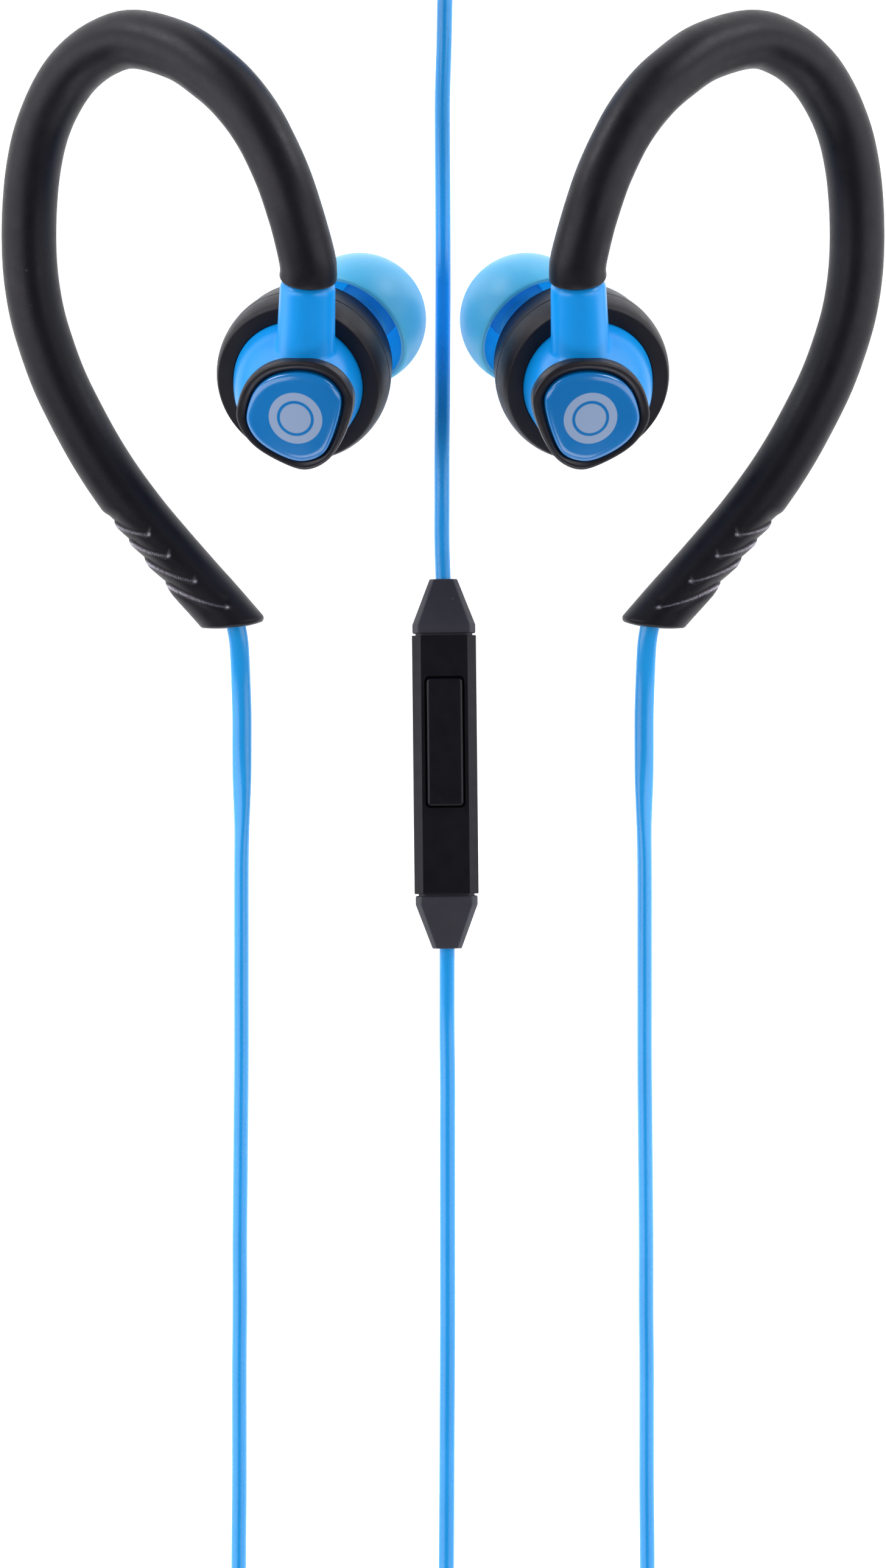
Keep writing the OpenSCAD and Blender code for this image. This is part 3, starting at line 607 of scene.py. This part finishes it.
def hook_sleeve(side):
    """The sleeve's skin, from the rim on the stem to the cut and gripped tail."""
    start = from_bud(STEM + [0, SLEEVE_END, 0])
    stem_dir = BUD_R[:, 1]
    centre = spline([start, start + stem_dir * 1.6] + HOOK, 0.1, 60)
    s = np.concatenate([[0], np.cumsum(np.linalg.norm(np.diff(centre, axis=0), axis=1))])
    total = s[-1]
    t, u, v = hook_frames(centre)
    tail0 = total - GRIP_LEN
    end0 = total - END_R
    at = np.concatenate([
        [0, 0.03, 0.09, 0.18, 0.3, RIM_R], np.arange(0.9, tail0, 0.75), np.arange(tail0, end0, 0.11),
        end0 + np.array([0, 0.12, 0.24, 0.34, 0.42, 0.47, 0.495, END_R]),
    ])
    n = 112
    phi = np.linspace(0, 2 * math.pi, n, endpoint=False)

    def frame_at(q):
        out = [np.stack([np.interp(q, s, w[:, k]) for k in range(3)], 1) for w in (centre, t, u, v)]
        over = np.maximum(q - total, 0)[:, None]
        out[0] = out[0] + over * t[-1]
        return out

    rings = []
    for q in at:
        r = SLEEVE_R + 0.2 * max(0.0, 1 - ((q - CROWN_AT) / 17) ** 2) + 0.1 * max(0.0, 1 - q / 6)
        end = q - end0
        r_end = 0.0
        if q < RIM_R:
            r -= RIM_R - math.sqrt(max(RIM_R**2 - (RIM_R - q) ** 2, 0))
        if end > 0:
            r_end = END_R - math.sqrt(max(END_R**2 - end**2, 0))
        q_phi = np.full(n, q)
        ramp = smooth(total - SLANT_LEN, end0, q)
        if ramp > 0:
            # slide each line of the skin so that the last ring lies in the cut face
            shift = np.zeros(n)
            for _ in range(6):
                c, tt, uu, vv = frame_at(np.full(n, total) + shift)
                p = c + (r * np.cos(phi))[:, None] * uu + (r * np.sin(phi))[:, None] * vv
                shift += (tail_cut(p[:, 0]) - p[:, 1]) / tt[:, 1]
            q_phi = q + shift * ramp
        c, tt, uu, vv = frame_at(q_phi)
        p = c + ((r - r_end) * np.cos(phi))[:, None] * uu + ((r - r_end) * np.sin(phi))[:, None] * vv
        out = np.cos(phi)[:, None] * uu + np.sin(phi)[:, None] * vv
        if q > tail0:
            near = smooth(tail0, tail0 + 1.0, q) * smooth(-0.75, -0.2, out[:, 2])
            p = p - out * (groove_depth(p[:, 0], p[:, 1])[0] * near)[:, None]
        rings.append(p)
    inner = [rings[-1].mean(0) + (rings[-1] - rings[-1].mean(0)) * k for k in (0.75, 0.4)]
    rings += inner
    verts, faces = loft(rings)
    verts[:, 2] = np.maximum(verts[:, 2], 0.04)
    o = mesh_piece(side + "_hook_sleeve", verts, faces, MAT["sleeve"], side)
    # the painted highlight along the grip ridges, kept off faces that turn downward, is stored on the skin
    # for the sleeve's material
    co = np.array([v.co for v in o.data.vertices]) / MM
    up = np.array([v.normal[2] for v in o.data.vertices])
    lip_glint = groove_depth(co[:, 0] * (-1 if side == "right" else 1), co[:, 1])[1] * smooth(-0.35, 0.05, up)
    o.data.attributes.new("lip_glint", "FLOAT", "POINT").data.foreach_set("value", lip_glint)
    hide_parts(*[f"{side}_hook_sleeve_{k}" for k in ("front", "mid", "rear")])
    bend(o)
    return centre, u, s


def bend(o):
    """Bakes the piece's placement into its mesh."""
    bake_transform(o)


def hook_core(side, path, name, radius, shift, stop, material):
    """A round core in the sleeve, shift off its middle, that ends short of the tail by stop."""
    centre, u, s = path
    keep = s <= s[-1] - stop
    p = (centre + u * shift)[keep][::8]
    _, uu, vv = hook_frames(p)
    phi = np.linspace(0, 2 * math.pi, 14, endpoint=False)
    ring = radius * np.stack([np.cos(phi), np.sin(phi)], 1)
    rings = [c + ring @ np.stack([a, b]) for c, a, b in zip(p, uu, vv)]
    verts, faces = loft(rings)
    o = mesh_piece(f"{side}_{name}_visual", verts, faces, material, side)
    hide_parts(f"{side}_{name}")
    bend(o)


for side in SIDES:
    path = hook_sleeve(side)
    hook_core(side, path, "hook_wire", 0.5, 1.15, 6, MAT["steel"])
    hook_core(side, path, "hook_cable", 0.93, -0.55, 1.2, MAT["inner_cord"])


# ---------------------------------------------------------------- earpieces
BEZEL = [
    (1.8, 5.2), (-1.6, 4.4), (-3.7, 2.5), (-4.6, 0.1), (-4.55, -2.1), (-2.75, -4.4), (0.5, -5.95),
    (2.6, -6.2), (4.55, -4.95), (5.9, -2.6), (6.8, 0.7), (6.5, 2.8), (4.7, 4.6),
]
# The cap is fuller than the band toward the lower end, where the band gets narrow.
CAP = [
    (1.8, 5.2), (-1.6, 4.4), (-3.7, 2.5), (-4.6, 0.1), (-4.65, -2.2), (-3.05, -4.6), (0.25, -6.2),
    (2.7, -6.25), (4.95, -5.0), (6.05, -2.6), (6.8, 0.7), (6.5, 2.8), (4.7, 4.6),
]


def relax(q, times):
    for _ in range(times):
        q = 0.5 * q + 0.25 * (np.roll(q, 1, 0) + np.roll(q, -1, 0))
    return q


outline = relax(closed_spline(np.array(BEZEL), 12), 5)
cap_line = relax(closed_spline(np.array(CAP), 12), 5)
mid = outline.mean(0)


def inset(o):
    """The outline moved inward by o, turning from the band's shape to the cap's."""
    w = min(o / 0.97, 1)
    q = outline * (1 - w) + cap_line * w
    d = np.roll(q, -1, 0) - np.roll(q, 1, 0)
    nrm = np.stack([-d[:, 1], d[:, 0]], 1) / np.linalg.norm(d, axis=1)[:, None]
    return relax(q + nrm * o, int(26 * o))


def at_z(xy, z):
    return np.hstack([xy, np.full((len(xy), 1), z)])


def ear_piece(side, name, verts, faces, mat, nodes, sharp=None):
    o = mesh_piece(f"{side}_{name}", verts, faces, MAT[mat], side, sharp=sharp)
    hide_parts(*[f"{side}_{k}" for k in nodes])
    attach(o, side + "_earpiece")
    return o


# The shell's radius where it leaves the collar.
BARREL_R = 6.43


def shell_mesh():
    """Barrel lofted from the round collar to the cap's outline, fused with the stem."""
    base = np.arctan2(outline[:, 1] - mid[1], outline[:, 0] - mid[0])
    circle = np.stack([np.cos(base), np.sin(base)], 1) * BARREL_R
    rings = [at_z(circle * 0.985, -2.4), at_z(circle, -2.2)]
    for t in np.linspace(0, 1, 14):
        w = min(max(t - 0.16 * math.sin(math.pi * t), 0), 1)
        rings.append(at_z(circle * (1 - w) + inset(0.3) * w, 5.35 * t))
    bv, bf = loft(rings)
    stem = [(0, 1.5), (2.92, 1.5), (2.90, 4.5), (2.82, 7)]
    top = [(2.70, -0.45), (2.66, -0.2), (2.55, 0), (2.3, 0.05), (2.2, 0.6), (0, 0.6)]
    sv, sf = lathe(stem + [(r, STEM_TOP + z) for r, z in top], 72)
    sv = sv[:, [0, 2, 1]] * [-1, 1, 1] + STEM * [1, 0, 1]
    bm = bmesh.new()
    for v, f in ((bv, bf), (sv, sf)):
        made = [bm.verts.new(x) for x in v]
        for q in f:
            try:
                bm.faces.new([made[i] for i in q])
            except ValueError:
                pass
    me = bpy.data.meshes.new("shell_raw")
    bmesh.ops.recalc_face_normals(bm, faces=bm.faces)
    bm.to_mesh(me)
    bm.free()
    o = bpy.data.objects.new("shell_raw", me)
    scene.collection.objects.link(o)
    m = o.modifiers.new("remesh", "REMESH")
    m.mode = "VOXEL"
    m.voxel_size = 0.13
    m = o.modifiers.new("smooth", "SMOOTH")
    m.factor = 0.5
    m.iterations = 24
    apply_modifiers(o)
    verts = np.array([v.co for v in o.data.vertices])
    faces = [tuple(p.vertices) for p in o.data.polygons]
    bpy.data.objects.remove(o)
    return verts, faces


# Turned outlines as (radius, height) pairs, each with the rounding of its corners.
collar_profile = fillet([
    (6.45, -0.5), (6.45, 0.0), (7.98, 0.0), (8.28, -0.7), (8.42, -1.4), (8.5, -2.1), (8.52, -2.84),
    (8.47, -2.9), (6.45, -2.9), (6.45, -0.5),
], [0, 0.12, 0.14, 0.3, 0.3, 0.3, 0.03, 0.02, 0, 0], 5)[:-1]
rear_profile = fillet([
    (0, -2.96), (8.46, -2.96), (8.52, -3.02), (8.48, -3.7), (8.36, -4.6), (8.2, -5.4), (8.08, -6.2),
    (7.98, -6.95), (0, -7.1),
], [0, 0.02, 0.03, 0.3, 0.4, 0.4, 0.3, 0.35, 0], 6)
nozzle_profile = fillet([
    (0, -5.2), (3.9, -5.2), (3.6, -2.2), (2.5, -0.6), (2.2, 0.2), (2.2, 3.4), (2.5, 3.7), (2.2, 4.8),
    (2.2, 6.2), (2.0, 6.5), (1.78, 6.5), (1.78, 6.32), (0, 6.32),
], [0, 0.2, 0.6, 0.8, 0.6, 0.1, 0.1, 0.2, 0, 0.15, 0.05, 0, 0], 4)


# The ear tip's ball: its radius, and how far its centre lies ahead of the tip's origin.
TIP_R_OUT, TIP_AHEAD = 6.55, 1.8


def tip_profile():
    """Half ball open at the skirt, thin wall, soft core tube with a bore."""
    r, wall, ahead = TIP_R_OUT, 0.55, TIP_AHEAD
    pts = []
    for a in np.linspace(math.degrees(math.acos(-ahead / r)), 22, 46):
        x = math.radians(a)
        seam = 0.018 * math.exp(-((a - 84.5) / 0.5) ** 2)
        pts.append(((r + seam) * math.sin(x), ahead + (r + seam) * math.cos(x)))
    pts += [(2.36, 7.95), (2.28, 7.75), (2.28, 1.7), (2.36, 1.5), (2.95, 1.5), (3.05, 1.7), (3.15, 5.2)]
    ri = r - wall
    for a in np.linspace(34, math.degrees(math.acos(-(ahead - 0.06) / ri)), 26):
        x = math.radians(a)
        pts.append((ri * math.sin(x), ahead + ri * math.cos(x)))
    edge = pts[-1]
    pts += [((edge[0] + pts[0][0]) / 2, min(edge[1], pts[0][1]) - 0.06)]
    return pts


def cap_mesh():
    """A low dome with a rounded edge; its wall goes down into the band."""
    rings = [at_z(inset(1.13), 5.6), at_z(inset(1.10), 6.75)]
    for a in np.linspace(0, 86, 12)[1:]:
        x = math.radians(a)
        rings.append(at_z(inset(1.10 + 0.95 * (1 - math.cos(x))), 6.75 + 0.56 * math.sin(x)))
    edge, top = inset(2.0), rings[-1][0, 2]
    for k in np.linspace(0.96, 0.06, 14):
        rings.append(at_z(mid + (edge - mid) * k, top + 0.19 * (1 - k * k)))
    return loft(rings)


def bezel_mesh():
    """The dark band round the cap, from its section as (inset, height) pairs."""
    prof = fillet([
        (0.97, 5.15), (0.12, 5.15), (0.0, 5.6), (0.02, 6.62), (0.50, 6.74), (0.97, 6.52), (0.97, 5.15),
    ], [0, 0.1, 0.2, 0.40, 0.3, 0.14, 0], 6)[:-1]
    return loft([at_z(inset(o), z) for o, z in prof], closed=True)


shell = shell_mesh()
for side in SIDES:
    v, f = shell
    ear_piece(side, "shell_and_stem", from_bud(v), f, "shell", ["outer_shell"])
    v, f = lathe(collar_profile, 144, closed=True)
    ear_piece(side, "collar_ring", from_bud(v), f, "collar", ["collar"], 32)
    v, f = lathe(rear_profile, 96)
    ear_piece(side, "rear_cover", from_bud(v), f, "collar", ["rear_shell"], 40)
    v, f = lathe(nozzle_profile, 72)
    ear_piece(side, "sound_nozzle", from_tip(v), f, "nozzle", ["nozzle"], 40)
    v, f = bezel_mesh()
    ear_piece(side, "cap_band", from_bud(v), f, "bezel", ["cap_bezel"], 50)
    v, f = cap_mesh()
    cap = ear_piece(side, "cap_dome", from_bud(v), f, "cap", ["cap"], 60)
    uv = cap.data.uv_layers.new(name="print")
    for loop in cap.data.loops:
        w = np.array(cap.data.vertices[loop.vertex_index].co) / MM
        w[0] *= -1 if side == "right" else 1
        q = (w - BUD_AT) @ BUD_R
        uv.data[loop.index].uv = (0.5 + (q[0] - 1.35) / 10, 0.5 + (q[1] + 0.55) / 10)
    v, f = lathe(tip_profile(), 120, closed=True)
    tip = ear_piece(side, "ear_tip", from_tip(v), f, "tip", ["eartip"], 70)
    from_centre = np.linalg.norm(v - [0, 0, TIP_AHEAD], axis=1)
    # mask of the tip's painted glow: its faces well inside the outer skin
    inner_glow = smooth(TIP_R_OUT - 0.2, TIP_R_OUT - 0.5, from_centre)
    tip.data.attributes.new("inside", "FLOAT", "POINT").data.foreach_set("value", inner_glow)


# ---------------------------------------------------------------- remote
REMOTE_M = Matrix.Translation((0.22 * MM, -43.9 * MM, 0)) @ Matrix.Rotation(math.radians(0.6), 4, "Z")
# Width, thickness and half the length of the remote's body.
REMOTE_W, REMOTE_T, REMOTE_HALF = 6.3, 4.8, 12.7
# The two halves meet at REMOTE_SPLIT, with SEAM left open on each side of it.
REMOTE_SPLIT, SEAM = 2.4, 0.02
BUTTON_W, BUTTON_L, BUTTON_TOP = 3.5, 12.5, 5.3
# Where the button's middle and the microphone's hole lie along the remote.
BUTTON_Y, MIC_Y = 2.2, -9.2


def remote_section(w, t, b, d, z0=0.0, low=0.3):
    """The eight-sided outline: flat front and back, with a chamfer b by d along each front edge."""
    h = w / 2
    p = [(-h + low, 0), (h - low, 0), (h, low), (h, t - d), (h - b, t), (b - h, t), (-h, t - d), (-h, low)]
    return np.array(p) + [0, z0]


def remote_piece(name, verts, faces):
    """A piece in the remote's own frame, with its faces still flat."""
    o = mesh_piece(name, verts, faces, MAT["remote"], smooth=False)
    o.matrix_world = REMOTE_M
    return o


def soft_box(w, l, z0, z1, r, seg=6):
    """A flat-topped block whose upright edges are rounded by r."""
    pts = []
    for cx, cy, a0 in ((1, 1, 0), (-1, 1, 90), (-1, -1, 180), (1, -1, 270)):
        for a in np.linspace(a0, a0 + 90, seg + 1):
            x = math.radians(a)
            pts.append((cx * (w / 2 - r) + r * math.cos(x), cy * (l / 2 - r) + r * math.sin(x)))
    n = len(pts)
    v = np.array([(x, y, z) for z in (z0, z1) for x, y in pts])
    return v, ring_faces(2, n) + [tuple(range(n))[::-1], tuple(range(n, 2 * n))]


def half_section(z0, z1):
    """The part of the remote's outline between two levels."""
    s = remote_section(REMOTE_W, REMOTE_T, 0.85, 0.78)
    out = []
    for (xa, za), (xb, zb) in zip(s, np.roll(s, -1, 0)):
        if z0 <= za <= z1:
            out.append((xa, za))
        for z in (z0, z1):
            if (za - z) * (zb - z) < 0:
                out.append((xa + (xb - xa) * (z - za) / (zb - za), z))
    return out


def remote_half(name, z0, z1):
    """One half of the remote's shell, still solid."""
    section = half_section(z0, z1)
    n = len(section)
    rings = [[(x, y, z) for x, z in section] for y in (-REMOTE_HALF, REMOTE_HALF)]
    faces = ring_faces(2, n) + [tuple(range(n))[::-1], tuple(range(n, 2 * n))]
    return remote_piece(name, np.array(rings).reshape(-1, 3), faces)


def settle(o, body, slot_name, *nodes):
    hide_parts(*nodes)
    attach(o, body)
    return o


def combine(o, operation, other):
    """Adds the other piece to this one or cuts it away; the other piece is used up."""
    m = o.modifiers.new("combine", "BOOLEAN")
    m.operation = operation
    m.solver = "EXACT"
    m.object = other
    bpy.context.view_layer.update()
    apply_modifiers(o)
    bpy.data.objects.remove(other)


def finish_edges(o, width, segments=3):
    """Rounded edges, with the flat faces kept flat in the shading."""
    o.data.shade_smooth()
    m = o.modifiers.new("bevel", "BEVEL")
    m.width = width * MM
    m.segments = segments
    m.limit_method = "ANGLE"
    m.angle_limit = math.radians(30)
    m = o.modifiers.new("flat", "WEIGHTED_NORMAL")
    m.weight = 100
    apply_modifiers(o)


def remote_block(w, l, z0, z1, r, y=0.0):
    """A rounded block in the remote's own frame, to add to a piece or cut from it."""
    v, f = soft_box(w, l, z0, z1, r)
    return remote_piece("remote_block", v + [0, y, 0], f)


front = remote_half("remote_front", REMOTE_SPLIT + SEAM, REMOTE_T)
combine(front, "DIFFERENCE", remote_block(4.64, 23.04, 1.0, 3.8, 0.3))
combine(front, "DIFFERENCE", remote_block(BUTTON_W + 0.34, BUTTON_L + 0.36, 3.0, 6.0, 0.40, BUTTON_Y + 0.03))
finish_edges(front, 0.11)
settle(front, "set", "plastic_black", "remote_front_shell")
back = remote_half("remote_back", 0, REMOTE_SPLIT - SEAM)
combine(back, "DIFFERENCE", remote_block(4.64, 23.04, 0.78, 4.0, 0.3))
combine(back, "DIFFERENCE", remote_block(1.0, 1.0, -1.0, 2.0, 0.49, MIC_Y))
finish_edges(back, 0.09)
settle(back, "set", "plastic_black", "remote_back_shell")

# The button: a bar with a flange below the front shell and a foot over the switch.
v, f = soft_box(BUTTON_W, BUTTON_L, 3.5, BUTTON_TOP, 0.34)
button = remote_piece("button_bar", v + [0, BUTTON_Y, 0], f)
finish_edges(button, 0.26, 4)
combine(button, "UNION", remote_block(BUTTON_W + 0.86, BUTTON_L + 0.86, 3.32, 3.6, 0.5, BUTTON_Y))
combine(button, "UNION", remote_block(1.6, 1.6, 2.97, 3.4, 0.79, BUTTON_Y))
settle(button, "remote_button", "plastic_black", "remote_button")


def boot(name, node, d, wide, end, narrow):
    """A tapered cuff with a flat end, and a slimmer neck that reaches the shells."""
    def ring(y, w, t, z0):
        s = remote_section(w, t, 0.34 + 0.035 * w, 0.5 + 0.09 * w, z0, 0.28)
        r = fillet(np.vstack([s, s[:1], s[1:2]]), 0.15, 4)[1:-1]
        return [(x, d * y, z) for x, z in r]
    # each ring: distance along the remote, width, thickness and the height of its underside
    rings = [(12.7, wide - 0.6, 3.9, 0.45), (12.9, wide - 0.6, 3.9, 0.45), (12.91, wide - 0.2, 4.3, 0.25),
             (12.97, wide - 0.06, 4.44, 0.18), (13.06, wide, 4.5, 0.15), (13.75, wide, 4.5, 0.15)]
    for k in np.linspace(0.05, 1, 9):
        taper = (wide + (narrow - wide) * k, 4.5 - 1.65 * k, 0.15 + 0.6 * k)
        rings.append((13.75 + (end - 13.87) * k, *taper))
    rings += [(end - 0.05, narrow - 0.06, 2.79, 0.78), (end, narrow - 0.24, 2.6, 0.87)]
    v, f = loft([ring(*q) for q in rings])
    o = mesh_piece(name, v, f, MAT["boot"], sharp=24)
    o.matrix_world = REMOTE_M
    return settle(o, "set", "rubber_black", node)


boot("boot_upper", "remote_boot_top", 1, 6.2, 18.25, 2.8)
boot_low = boot("boot_lower", "remote_boot_bottom", -1, 6.1, 18.1, 2.95)


# ---------------------------------------------------------------- Y-split, ties, plug
# The split's rings from the ear cords' end to the main cord's: y, width and height.
SPLIT_RINGS = [
    (-143, 5.4, 3.0), (-142.85, 6.4, 3.7), (-142.5, 7.0, 3.95), (-141.5, 7.2, 4.0), (-135, 7.1, 4.0),
    (-133.6, 6.7, 3.9), (-131.5, 5.3, 3.6), (-129.6, 3.9, 3.2), (-128.6, 3.2, 2.9), (-128.15, 2.8, 2.6),
    (-128, 2.3, 2.2),
]


def split_mesh():
    """A soft-cornered block that narrows to the main cord."""
    a = np.linspace(0, 2 * math.pi, 64, endpoint=False)
    c, s = np.cos(a), np.sin(a)
    x = np.sign(c) * np.abs(c) ** 0.62 / 2
    z = np.sign(s) * np.abs(s) ** 0.75 / 2
    return loft([np.stack([0.1 + w * x, np.full(64, y), 2.02 + h * z], 1) for y, w, h in SPLIT_RINGS])


v, f = split_mesh()
split = mesh_piece("cord_split", v, f, MAT["boot"], sharp=50)
settle(split, "set", "rubber_black", "y_split")


def tie_mesh(at, r, minor):
    """A flat band round the coil's strands, with an overlapped end; minor is the strands' own radius."""
    a0, a1 = 168, 192
    inside, edge, outside = minor + 0.1, minor + 0.42, minor + 0.5
    steps = [(a0, inside), (a0, edge)] + [(x, outside) for x in np.linspace(a0 + 1, a1 - 1, 9)]
    rings = []
    for a, rr in steps + [(a1, edge), (a1, inside)]:
        x = math.radians(a)
        b = np.linspace(0, 2 * math.pi, 56, endpoint=False)
        wob = rr + 0.035 * np.cos(3 * b + 0.6) + np.where((b > 1.1) & (b < 1.9), 0.05, 0)
        cr = r + wob * np.cos(b)
        z = minor + 0.6 + wob * np.sin(b)
        rings.append(np.stack([at[0] + cr * math.cos(x), at[1] + cr * math.sin(x), z], 1))
    return loft(rings, closed=True)


for side in SIDES:
    v, f = tie_mesh(EAR_COIL, EAR_COIL_R, 2.3)
    o = mesh_piece(side + "_tie_band", v, f, MAT["boot"], side, sharp=50)
    settle(o, "set", "rubber_black", side + "_coil_tie")
v, f = tie_mesh(MAIN_COIL, MAIN_COIL_R, 3.0)
o = mesh_piece("main_tie_band", v, f, MAT["boot"], sharp=50)
settle(o, "set", "rubber_black", "main_coil_tie")


def plug_piece(name, profile, material, slot_name, node):
    """A turned piece on the plug's axis, from (radius, distance from the cord's end) pairs."""
    v, f = lathe(profile, 72)
    v = v[:, [0, 2, 1]] * [-1, 1, 1] + [-0.1, 61, 3.5]
    o = mesh_piece(name, v, f, material, sharp=35)
    return settle(o, "set", slot_name, node)


relief = [(0, 0), (1.2, 0), (1.4, 0.2)]
for k in range(5):
    z = 0.9 + 1.55 * k
    w = 1.42 + 0.165 * z / 1.6
    relief += [(w, z), (w + 0.38, z + 0.12), (w + 0.42, z + 0.62), (w + 0.06, z + 0.74)]
relief += [(2.2, 8.6), (2.2, 9.05), (0, 9.05)]
relief_o = plug_piece("plug_relief_ribbed", fillet(relief, 0.06, 2), MAT["boot"], "rubber_black",
                      "plug_relief")
grip = [(0, 9), (2.6, 9), (3.3, 9.25), (3.5, 9.9)]
for k in range(5):
    z = 14.0 + 1.2 * k
    grip += [(3.5, z), (3.34, z + 0.12), (3.34, z + 0.42), (3.5, z + 0.54)]
grip += [(3.5, 22.6), (3.3, 23.6), (2.7, 24.0), (0, 24.0)]
grip_o = plug_piece("plug_grip_ribbed", fillet(grip, 0.12, 3), MAT["collar"], "plastic_black", "plug_grip")


# ---------------------------------------------------------------- CAD nodes that stay
def dress(node, material):
    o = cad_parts[node]
    o.data.materials.clear()
    o.data.materials.append(material)


for side in SIDES:
    dress(side + "_driver", MAT["steel"])
    dress(side + "_diaphragm", MAT["film"])
    dress(side + "_nozzle_mesh", MAT["steel"])
dress("remote_pcb", MAT["board"])
dress("remote_switch", MAT["steel"])
dress("remote_mic", MAT["steel"])
for node in ("plug_sleeve_contact", "plug_ring_two", "plug_ring_one", "plug_tip_contact"):
    dress(node, MAT["gold"])
dress("plug_insulator", MAT["bezel"])

for side in SIDES:
    o, length, start, line = cords[side]
o, length, start = cords["lower"]
o, length, start = cords["upper"]
